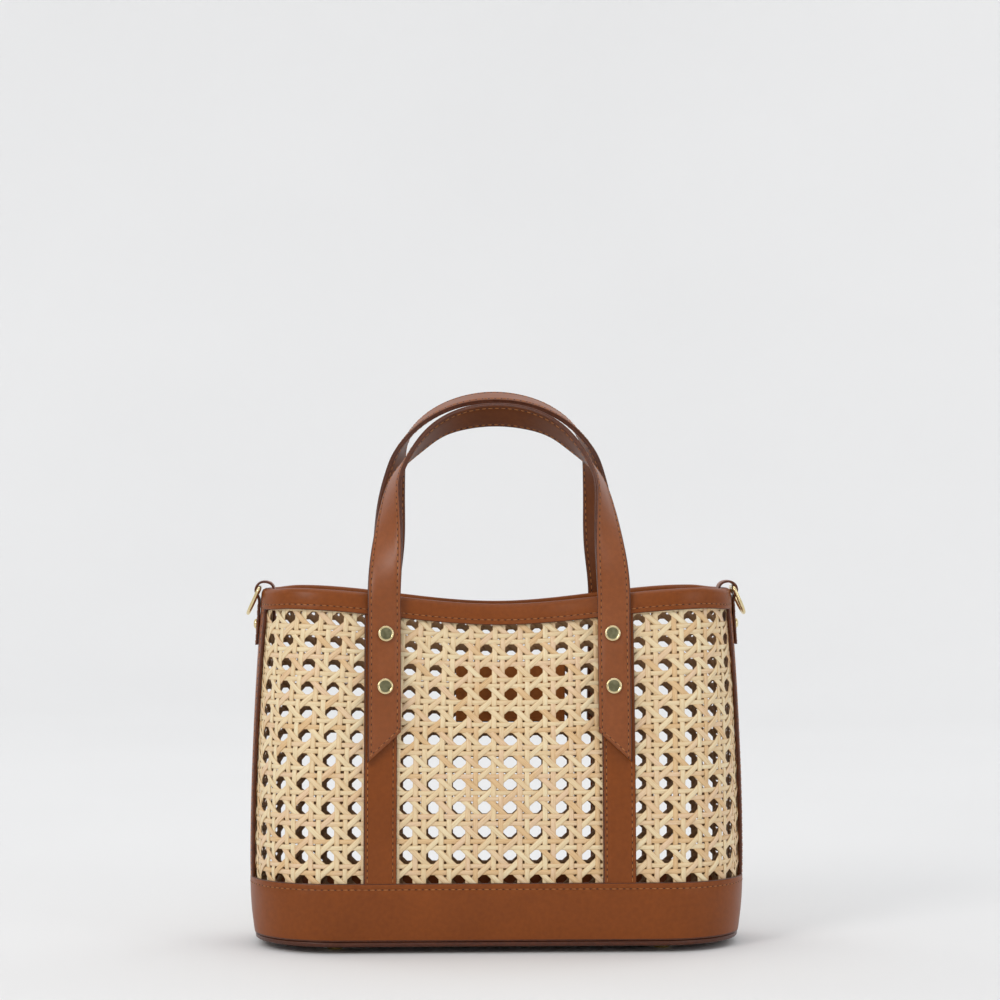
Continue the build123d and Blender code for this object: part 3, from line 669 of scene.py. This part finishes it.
def strand_lines(name, wobble, u, v, height, seed):
    """Clips a strand to the panel and returns its lines; a strand wanders a little, and no two are alike."""
    rng = np.random.default_rng(seed)
    drift = 0.012 * np.sin(np.linspace(0, rng.uniform(2, 5), len(u)) + rng.uniform(0, 6))
    drift = drift + rng.normal(0, 0.008)
    s, z, points = cloth_place(name, u + drift * wobble[0], v + drift * wobble[1], height)
    _, ups = stitch_line(partial(shell, side=SIDES[name]), s, z, 0.0)
    inside = (np.abs(s) < half_girth(z) - 1.0) & (z > FLOOR_Z + 1) & (z < rim_z(points[:, 0]) - BINDING_CAP - 1)
    travelled = travel(points) * MM
    tone = rng.random()
    thick = rng.uniform(0.93, 1.07)
    # runs of points inside the panel
    turns = np.flatnonzero(np.diff(np.concatenate([[0], inside.astype(int), [0]])))
    runs = [slice(a, b) for a, b in zip(turns[::2], turns[1::2]) if b - a > 2]
    return [(points[run], ups[run], {"strand": tone, "along": travelled[run], "size": thick}) for run in runs]


def cane_panel(name):
    """Six-way webbing: pairs of uprights, pairs of level strands, and single strands on both slants."""
    reach = int(BODY_WIDTH / CANE_PITCH_X[name] * CANE_SPARE)
    columns = range(-reach, reach + 1)
    up_steps = np.concatenate([row + UPRIGHT_CELL for row in CANE_ROWS])
    level_steps = np.concatenate([column + LEVEL_CELL for column in columns])
    slant_steps = np.arange(-reach * 6, reach * 6 + 1) / 6
    seed = CANE_SEED[name]
    strands = {"upright": [], "level": [], "slant": []}
    for column in columns[:-1]:
        for pair in (-1, 1):
            seed += 1
            height = -pair * WEAVE_STEP * weave_wave((up_steps % 1 - 0.5) / PAIR_Z)
            u = np.full_like(up_steps, column + 0.5 + pair * PAIR_X)
            strands["upright"] += strand_lines(name, (1, 0), u, up_steps, height, seed)
    for row in CANE_ROWS:
        for pair in (-1, 1):
            seed += 1
            height = pair * WEAVE_STEP * weave_wave((level_steps % 1 - 0.5) / PAIR_X)
            v = np.full_like(level_steps, row + 0.5 + pair * PAIR_Z)
            strands["level"] += strand_lines(name, (0, 1), level_steps, v, height, seed)
    for lean in (-1, 1):
        for k in range(-reach - 14, reach + 14):
            seed += 1
            v = lean * (slant_steps - 0.5 - k)
            on = (v > -4.5) & (v < 13)
            if on.sum() > 2:
                height = lean * SLANT_STEP * np.cos(2 * math.pi * slant_steps[on])
                strands["slant"] += strand_lines(name, (0, 0.6), slant_steps[on], v[on], height, seed)
    for kind, lines in strands.items():
        obj = line_object(f"cane_{name}_{kind}", lines)
        sizes = {"Width": STRAND_WIDTH[kind] * MM, "Thickness": STRAND_THICK * MM}
        settle(obj, STRANDS, sizes | {"Material": CANE_SKIN})
        put(obj, "cane", f"cane_{name}")


# ======== leather on the body

def stitch_line(place, u, v, height, up=1.0):
    """Points of a line on a surface that place(u, v, height) gives, and the directions off it."""
    u, v, height = np.broadcast_arrays(*(np.asarray(value, float) for value in (u, v, height)))
    points = place(u, v, height)
    return points, unit(place(u, v, height + up) - points)


def seam(name, lines, slot, pitch=STITCH_PITCH, thread=0.5, length=2.2):
    """Stitches along lines of (points, ups)."""
    sizes = {"Pitch": pitch * MM, "Length": length * MM, "Thread": thread * MM}
    obj = line_object(f"{name}_stitches", [(points, ups, {}) for points, ups in lines])
    settle(obj, LOCKSTITCH, sizes | {"Material": THREAD, "Hole Material": NEEDLE_HOLE})
    return put(obj, slot)


def body_strip(name, width, edge, top, count, place):
    """A leather from the band to the binding, with a seam along each edge."""
    rows = np.linspace(BAND_TOP_Z - STRIP_UNDER, top + STRIP_UNDER, count)
    grooves = (edge - width / 2, width / 2 - edge)
    leather(name, "leather", place, rows, slab_section(width, STRIP, 0.5, grooves), LEATHER)
    z = np.linspace(BAND_TOP_Z + 1.5, top, 60)
    seam(name, [stitch_line(place, z, g, STRIP - STITCH_SINK) for g in grooves], "leather")


def upright_strip(side_name, leg_name):
    def place(u, v, h):
        share = (u - BAND_TOP_Z) / (STRIP_TOP_Z - BAND_TOP_Z)
        middle = STRIP_X_BOTTOM + (STRIP_X_TOP - STRIP_X_BOTTOM) * share
        return shell(LEGS[leg_name] * middle + v, u, CANE + h, SIDES[side_name])

    top = float(rim_z(STRIP_X_TOP)) - BINDING_HEIGHT
    body_strip(f"strip_{side_name}_{leg_name}", STRIP_WIDTH, STRIP_SEAM, top, 60, place)


def side_strip(leg_name):
    def place(u, v, h):
        points = shell(LEGS[leg_name] * (half_girth(u) - np.abs(v)), u, CANE + h)
        points[..., 1] *= np.where(v < 0, 1, -1)
        return points

    top = RIM_SIDE_Z - RIM_EAR_DROP - BINDING_HEIGHT
    body_strip(f"side_strip_{leg_name}", SIDE_STRIP_WIDTH, SIDE_STRIP_SEAM, top, 50, place)


def base_band(name):
    """Band round the foot of the body, raised a little where it lies over the strips."""
    height = BAND_TOP_Z - FLOOR_Z
    shape = slab_section(height, BAND, 0.55, (height / 2 - BAND_SEAM,))

    def place(u, v, h):
        z = (BAND_TOP_Z + FLOOR_Z) / 2 + v
        s = u * (half_girth(z) - 0.02)
        over = bump(s, STRIP_X_BOTTOM, 0.55) * np.clip((z - BAND_TOP_Z + 8) / 6, 0, 1)
        belly = (0.25 + 0.12 * np.sin(s * 0.07 + 1)) * np.cos(math.pi * v / height)
        return shell(s, z, CANE + h + (over + belly) * (h > 0.4), SIDES[name])

    leather(f"base_band_{name}", "leather", place, np.linspace(-1, 1, 200), shape, LEATHER)
    z = BAND_TOP_Z - BAND_SEAM
    s = np.linspace(-1, 1, 180) * (float(half_girth(z)) - 0.5)
    raised = bump(s, STRIP_X_BOTTOM, 0.55) * 0.85
    line = stitch_line(partial(shell, side=SIDES[name]), s, z, BAND_FACE + raised - 0.08)
    seam(f"base_band_{name}", [line], "leather")


def binding(name):
    """Leather folded over the cane's top edge, pressed over the strips, stitched once near its lower edge."""
    side = SIDES[name]
    low, cap = -BINDING_HEIGHT, -BINDING_CAP
    # once round: outer cut edge and face, the fold, inner face and cut edge, and the cane's slot
    profile = [(low, CANE + 0.15)]
    profile += [(low + v, BAND_FACE + h) for v, h in BINDING_OUTSIDE]
    profile += [(v, BAND_FACE + h) for v, h in BINDING_FOLD_OUT] + [(0.0, 1.1)]
    profile += [(v, h - BINDING_INNER) for v, h in BINDING_FOLD_IN]
    profile += [(low + v, h - BINDING_INNER) for v, h in BINDING_INSIDE]
    profile += [(low, -0.1), (cap - 0.3, -0.05), (cap, CANE / 2), (cap - 0.3, CANE + 0.05)]
    shape = np.array(profile), [int(v == low) for v, _ in profile]

    def edge_z(s):
        return rim_z(shell(s, RIM_SIDE_Z - 4, CANE)[..., 0])

    def ripple(s):
        return 0.14 * np.sin(s * 0.21 + 0.7 * side) * np.sin(s * 0.047)

    def place(u, v, h):
        z = edge_z(u * half_girth(RIM_SIDE_Z - 4)) + v
        s = u * (half_girth(z) - 0.02)
        over = bump(s, STRIP_X_TOP, 0.5) * np.clip((low + 5.5 - v) / 3.0, 0, 1)
        return shell(s, z, h + (over + ripple(s)) * (h > CANE), side)

    leather(f"binding_{name}", "leather", place, np.linspace(-1, 1, 200), shape, LEATHER)
    s = np.linspace(-1, 1, 240) * float(half_girth(RIM_SIDE_Z - 8.0) - 0.5)
    z = edge_z(s) + low + BINDING_SEAM
    on_wall = partial(shell, side=side)
    outside = stitch_line(on_wall, s, z, BAND_FACE - 0.05 + bump(s, STRIP_X_TOP, 0.5) + ripple(s))
    inside = stitch_line(on_wall, s, z, 0.05 - BINDING_INNER, up=-1.0)
    seam(f"binding_{name}", [outside, inside], "leather")


def plate(name, levels, materials):
    """A flat plate in the body's outline from rings of (height, offset); its side takes the last material."""
    rings = []
    for z, offset in levels:
        reach = float(half_girth(z))
        front = shell(np.linspace(-reach, reach, 120, endpoint=False), z, offset)
        rings.append(np.concatenate([front, front * (-1, -1, 1)]))
    tags = np.full((len(levels) - 1, 1), len(materials) - 1)
    return skin(name, np.array(rings), materials, tags, plate=True)


def base():
    lip = BAND_FACE - 0.4
    levels = [(PANEL_Z, lip - 0.9), (PANEL_Z + 0.15, lip - 0.35), (PANEL_Z + 0.6, lip)]
    levels += [(FLOOR_Z - 0.7, lip), (FLOOR_Z - 0.25, lip - 0.35), (FLOOR_Z - 0.05, lip - 1.3)]
    panel = plate("base_panel_leather", levels, (BASE_LEATHER, LIP_EDGE))
    put(panel, "base_leather", "base_panel")
    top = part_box("base_board")[1].z / MM
    levels = [(FLOOR_Z + 0.02, -0.6), (FLOOR_Z + 0.3, -0.35), (top - 0.7, -0.35), (top - 0.2, -0.6), (top, -1.3)]
    put(plate("base_board_leather", levels, (LINING,)), "board", "base_board")


# ======== handles

def tail_seat(z, follow):
    """Depth of the glue line and slant in degrees of a tail on the wall, or square to it where follow is 0."""
    half = HANDLE_WIDTH / 2
    outer, inner, middle = (float(wall_depth(HANDLE_X + v, z, HANDLE_MIDDLE)) for v in (half, -half, 0))
    slant = -math.atan2(outer - inner, 2 * half) * follow
    drop = half * math.sin(slant)
    return max(outer + drop, inner - drop, middle), math.degrees(slant)


def handle_line(name):
    """Points and twists of one handle from its left tail's tip over the arch to the right one's."""
    side = SIDES[name]
    leave_z = RIM_SIDE_Z - float(rim_dip(HANDLE_X))
    leave, _ = tail_seat(leave_z, 0.0)
    stations = [(z, 1.0) for z in np.linspace(HANDLE_TAIL_TIP_Z, HANDLE_LIFT_Z, HANDLE_TAIL_STEPS)]
    stations += [(leave_z + (HANDLE_LIFT_Z - leave_z) * follow, follow) for follow in (0.5, 0.0)]
    half = []
    for z, follow in stations:
        depth, slant = tail_seat(z, follow)
        half.append((-HANDLE_X, side * depth, z, slant))
    for x_share, z_share, twist in HANDLE_SHAPE[name]:
        inwards = HANDLE_LEAN[name] * z_share**HANDLE_LEAN_POWER
        half.append((-HANDLE_X * x_share, side * (leave - inwards), leave_z + HANDLE_RISE[name] * z_share, twist))
    other = [(-x, y, z, twist) for x, y, z, twist in reversed(half[:-1])]
    return np.array(half + other)


def spline(knots, values, where):
    """Natural cubic through values at knots."""
    n = len(knots)
    gaps = np.diff(knots)
    matrix = np.eye(n)
    right = np.zeros(values.shape)
    for i in range(1, n - 1):
        matrix[i, i - 1 : i + 2] = gaps[i - 1], 2 * (gaps[i - 1] + gaps[i]), gaps[i]
        right[i] = 6 * ((values[i + 1] - values[i]) / gaps[i] - (values[i] - values[i - 1]) / gaps[i - 1])
    curve = np.linalg.solve(matrix, right)
    i = np.clip(np.searchsorted(knots, where) - 1, 0, n - 2)
    left = (knots[i + 1] - where)[..., None]
    past = (where - knots[i])[..., None]
    gap = gaps[i][..., None]
    bend = (curve[i] * left**3 + curve[i + 1] * past**3) / (6 * gap)
    straight = (values[i] / gap - curve[i] * gap / 6) * left + (values[i + 1] / gap - curve[i + 1] * gap / 6) * past
    return bend + straight


def handle_frames(name, shares):
    """Places, across directions and face normals along a handle, and its length."""
    line = handle_line(name)
    points, twists = line[:, :3], line[:, 3:]
    lengths = travel(points)
    knots = lengths / lengths[-1]
    step = 1e-4
    ahead = unit(spline(knots, points, shares + step) - spline(knots, points, shares - step))
    outwards = np.array([0, SIDES[name], 0.0])
    level = unit(outwards - ahead * (ahead @ outwards)[..., None])
    across = np.cross(level, ahead) * -SIDES[name]
    turn = np.radians(spline(knots, twists, shares))
    normal = level * np.cos(turn) + across * np.sin(turn)
    return spline(knots, points, shares), np.cross(ahead, normal), normal, lengths[-1]


def handle_length(name):
    return handle_frames(name, np.array([0.5]))[-1]


def handle_place(name, u, v, h):
    """Points of a handle: u millimetres from the left tail's tip, v across, h off the glue line."""
    place, width, normal, _ = handle_frames(name, u.ravel() / handle_length(name))
    points = place + width * v.ravel()[:, None] + normal * h.ravel()[:, None]
    return points.reshape(u.shape + (3,))


def tail_start(name, v):
    """How far the slanting cut reaches up the strap at a place across it."""
    inner = -SIDES[name] * v / (HANDLE_WIDTH / 2)
    return HANDLE_TAIL_TRIM + HANDLE_TAIL_CUT * (inner + 1) / 2


def handle_leather(name, part, thick, material):
    """The outer leather or the lining; its rows follow the slanting cut in the tails."""
    length = handle_length(name)
    edge = HANDLE_WIDTH / 2 - HANDLE_SEAM
    section, tags = slab_section(HANDLE_WIDTH, thick, 0.45, (-edge, edge), 0.14, 0.05)
    if part == "lining":
        section = section * np.array([1, -1])
    # 0 to 1 is the left tail, 2 to 3 the right one
    steps = np.concatenate([np.linspace(0, 1, 14)[:-1], 1 + np.arange(170) / 170, np.linspace(2, 3, 14)])

    def place(u, v, h):
        start = tail_start(name, v)
        low = start + (HANDLE_TAIL - start) * np.clip(u, 0, 1)
        middle = (length - 2 * HANDLE_TAIL) * np.clip(u - 1, 0, 1)
        high = (HANDLE_TAIL - start) * np.clip(u - 2, 0, 1)
        return handle_place(name, low + middle + high, v, h)

    slot = "strap_leather" if part == "outer" else "lining_leather"
    leather(f"handle_{name}_{part}", slot, place, steps, (section, tags), material)


def handle_stitches(name):
    """Seams along both edges and both slanting ends, on the outer face and on the lining."""
    length = handle_length(name)
    edge = HANDLE_WIDTH / 2 - HANDLE_SEAM
    paths = []
    for v in (-edge, edge):
        start = float(tail_start(name, v)) + 2.2
        paths.append((np.linspace(start, length - start, 300), v))
    v = np.linspace(-edge, edge, 12)
    start = tail_start(name, v) + 2.2
    paths += [(start, v), (length - start, v)]
    faces = ((HANDLE_OUTER - 0.06, 1.0), (0.06 - HANDLE_LINING, -1.0))
    on_strap = partial(handle_place, name)
    lines = [stitch_line(on_strap, u, v, height, up) for height, up in faces for u, v in paths]
    seam(f"handle_{name}", lines, "strap_leather")


# ======== hardware

def lathe(name, outline, origin, axis, count=40, flat_from=99):
    """Turned gold metal: (radius, height along the axis) from the bottom middle to the top middle.

    Faces above ring flat_from are the brushed flat, coloured darker as a painted reflection.
    """
    axis = unit(np.asarray(axis, float))
    one = unit(np.cross((0, 0, 1.0) if abs(axis[2]) < 0.9 else (1.0, 0, 0), axis))
    two = np.cross(axis, one)
    angles = np.arange(count) * 2 * math.pi / count
    ring = np.cos(angles)[:, None] * one + np.sin(angles)[:, None] * two
    points = [[axis * outline[0][1]]] + [axis * h + ring * r for r, h in outline[1:-1]] + [[axis * outline[-1][1]]]
    points = np.concatenate(points) + np.asarray(origin, float)
    rows = len(outline) - 2
    last = 1 + (rows - 1) * count
    faces = between_rings(rows, count, 1)
    tags = [int(i >= flat_from) for i in range(rows - 1) for _ in range(count)]
    for j in range(count):
        k = (j + 1) % count
        faces += [(0, 1 + k, 1 + j), (last + j, last + k, len(points) - 1)]
        tags += [0, int(rows > flat_from)]
    return mesh_object(name, points, faces, (GOLD, GOLD_FLAT)[: 1 + max(tags)], tags)


def wall_frame(x, z, side):
    """A place on the cane's inner face and the direction out of the wall there."""
    slope_x = float(wall_depth(x + 1.0, z, 0) - wall_depth(x - 1.0, z, 0)) / 2
    slope_z = float(wall_depth(x, z + 1.0, 0) - wall_depth(x, z - 1.0, 0)) / 2
    return np.array([x, side * float(wall_depth(x, z, 0)), z]), np.array([-slope_x, side, -slope_z])


def metal(name, finish, outline, origin, axis, **options):
    """One turned piece in place of its node."""
    put(lathe(f"{name}_{finish}", outline, origin, axis, **options), "pale_gold", name)


def handle_rivets():
    """A flat top inside a rounded rim outside, a clenched disc inside."""
    cap = [(r, HANDLE_FACE + RIVET_CLEAR + h) for r, h in RIVET_CAP]
    for side_name, side in SIDES.items():
        for leg_name, leg in LEGS.items():
            for level, z in RIVET_LEVELS.items():
                origin, normal = wall_frame(leg * HANDLE_X, z, side)
                place = f"{side_name}_{leg_name}_{level}"
                metal(f"rivet_cap_{place}", "turned", cap, origin, normal, flat_from=RIVET_FLAT)
                metal(f"rivet_back_{place}", "turned", RIVET_BACK, origin, normal)


def feet():
    dome = FOOT_DOME + [(5.0, PANEL_Z), (0.6, PANEL_Z), (0, PANEL_Z)]
    for i in range(1, 5):
        low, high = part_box(f"foot_{i}")
        middle = (low + high) / 2 / MM
        metal(f"foot_{i}", "dome", dome, (middle.x, middle.y, 0.0), (0, 0, 1))
        head = lathe(f"foot_{i}_stud_head", STUD_HEAD, (middle.x, middle.y, high.z / MM), (0, 0, 1))
        put(head, "pale_gold")


def ring_tabs():
    """Leather tabs up the inside, over the rim, round the ring's bar and down the side, each with one rivet."""
    rim = RIM_SIDE_Z - RIM_EAR_DROP
    inner = float(half_width(rim)) - BINDING_INNER - TAB_SEAT
    outer = 2 * TAB_LOOP_RADIUS + inner

    def beside(z, offset):
        return float(half_width(z)) + offset + TAB_SEAT, z

    bend_x, bend_z = beside(rim - 5, BAND_FACE)
    knots = [(inner, TAB_INNER_END_Z), (inner, rim - 8), (inner, rim - 2), (inner + 0.9, rim + 1.3)]
    knots += [(inner + 3.6, rim + 2.6), (outer - 1.6, rim + 2.0), (outer, rim - 0.8), (bend_x + 0.5, bend_z)]
    knots += [beside(rim - 10, BAND_FACE)]
    knots += [beside(z, CANE + STRIP) for z in (rim - 15, TAB_END_Z + 7, TAB_END_Z)]
    gone = travel(knots)
    line = spline(gone / gone[-1], np.array(knots), np.linspace(0, 1, 80))
    ahead = unit(np.gradient(line, axis=0))
    out = np.stack([-ahead[:, 1], ahead[:, 0]], -1)
    shape = slab_section(TAB_WIDTH, TAB_THICK, 0.4, (-TAB_SEAM_Y, TAB_SEAM_Y), 0.12)
    steps = np.arange(len(line), dtype=float)
    for leg_name, leg in LEGS.items():

        def place(u, v, h):
            points = line[u.astype(int)] + out[u.astype(int)] * h[..., None]
            return np.stack([leg * points[..., 0], v, points[..., 1]], -1)

        name = f"ring_tab_{leg_name}"
        leather(name, "strap_leather", place, steps, shape, STRAP_LEATHER)
        lines = [stitch_line(place, steps[-26:-2], y, TAB_THICK - 0.08) for y in (-TAB_SEAM_Y, TAB_SEAM_Y)]
        seam(name, lines, "strap_leather", pitch=2.6, length=1.9)
        low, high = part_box(f"tab_rivet_cap_{leg_name}")
        z = (low.z + high.z) / 2 / MM
        far = beside(z, CANE + STRIP)[0] + TAB_THICK + 1.7
        metal(f"tab_rivet_cap_{leg_name}", "dome", TAB_DOME, (leg * far, 0, z), (leg, 0, 0), count=28)
        low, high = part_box(f"tab_rivet_back_{leg_name}")
        near = (low.x if leg > 0 else high.x) / MM
        metal(f"tab_rivet_back_{leg_name}", "disc", TAB_DISC, (near, 0, z), (leg, 0, 0), count=28)
        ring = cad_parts[f"d_ring_{leg_name}"].data
        ring.materials.clear()
        ring.materials.append(GOLD)
        ring.polygons.foreach_set("use_smooth", [True] * len(ring.polygons))


def inner_patch():
    low, high = (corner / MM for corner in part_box("inner_patch"))
    tall, middle = high.z - low.z, (low.z + high.z) / 2
    shape = slab_section(tall, 1.1, 0.35, (1.8 - tall / 2, tall / 2 - 1.8), 0.1)

    def place(u, v, h):
        return np.stack([u, wall_depth(u, middle + v, -0.3 - h), middle + v], -1)

    # its lighter colour is painted light on a patch in the bag's shaded inside
    leather("inner_patch", "lining_leather", place, np.linspace(low.x, high.x, 40), shape, LIT_PATCH_LEATHER)


# ======== studio

def studio():
    scene = bpy.context.scene
    scene.view_settings.view_transform = "Standard"
    scene.view_settings.look = "None"
    world = bpy.data.worlds.new("studio_air")
    world.use_nodes = True
    join(world.node_tree, world.node_tree.nodes["Background"], {"Color": linear("#F2F3F5"), "Strength": 0.8})
    scene.world = world

    # paper: floor, wide curve and low wall in one round sheet
    flat, curve, wall, count = 1600.0, 1300.0, 1900.0, 96
    bends = np.linspace(0, math.pi / 2, 24)
    profile = [(flat + curve * math.sin(a), curve - curve * math.cos(a)) for a in bends] + [(flat + curve, wall)]
    angles = np.arange(count) * 2 * math.pi / count
    rings = [np.stack([r * np.cos(angles), r * np.sin(angles), np.full(count, z)], -1) for r, z in profile]
    faces = [(0, 1 + j, 1 + (j + 1) % count) for j in range(count)] + between_rings(len(profile), count, 1)
    mesh_object("backdrop", np.concatenate([np.zeros((1, 3))] + rings), faces, (studio_white(),))

    def hang(name, data, place, aim):
        """Puts a lamp or camera in its place, looking at a point."""
        obj = linked(name, data)
        obj.location = place
        obj.rotation_mode = "QUATERNION"
        obj.rotation_quaternion = (Vector(aim) - Vector(place)).to_track_quat("-Z", "Y")
        return obj

    # name, place, aim, size, watts, tint
    for name, place, aim, size, power, tint in (
        ("key_left", (-1.3, -1.6, 1.35), (0, 0, 0.13), (0.7, 0.7), 15, "#FFFDFA"),
        ("fill_right", (1.6, -1.5, 0.9), (0, 0, 0.13), (0.8, 0.8), 5, "#FBFCFF"),
        ("top", (0.0, 0.1, 1.9), (0, 0, 0.1), (1.4, 1.0), 6, "#FFFFFF"),
        ("backdrop_left", (-1.6, 1.3, 1.6), (-0.3, 2.6, 0.6), (1.6, 1.6), 8, "#FFFFFF"),
        ("backdrop_right", (1.6, 1.3, 1.6), (0.3, 2.6, 0.6), (1.6, 1.6), 8, "#FFFFFF"),
    ):
        lamp = bpy.data.lights.new(name, "AREA")
        lamp.shape = "RECTANGLE"
        lamp.size, lamp.size_y = size
        lamp.energy = power
        lamp.color = linear(tint)[:3]
        hang(name, lamp, place, aim)

    # level camera, turned a little to the bag's left, aimed at the middle of the front face
    distance, view_width, yaw = 1.5, 0.496, math.radians(2.2)
    aim = Vector((0.0, -0.045, 0.225))
    camera = bpy.data.cameras.new("camera")
    camera.sensor_width = 36.0
    camera.lens = 36.0 * distance / view_width
    camera.clip_start, camera.clip_end = 0.05, 50.0
    scene.camera = hang("camera", camera, aim - Vector((math.sin(yaw), math.cos(yaw), 0)) * distance, aim)


# ======== all of it

studio()
for face in SIDES:
    cane_panel(face)
    base_band(face)
    binding(face)
    for hand in LEGS:
        upright_strip(face, hand)
    handle_leather(face, "outer", HANDLE_OUTER, STRAP_LEATHER)
    # the lining's darker colour is painted shade
    handle_leather(face, "lining", HANDLE_LINING, LINING)
    handle_stitches(face)
for hand in LEGS:
    side_strip(hand)
base()
handle_rivets()
feet()
ring_tabs()
inner_patch()
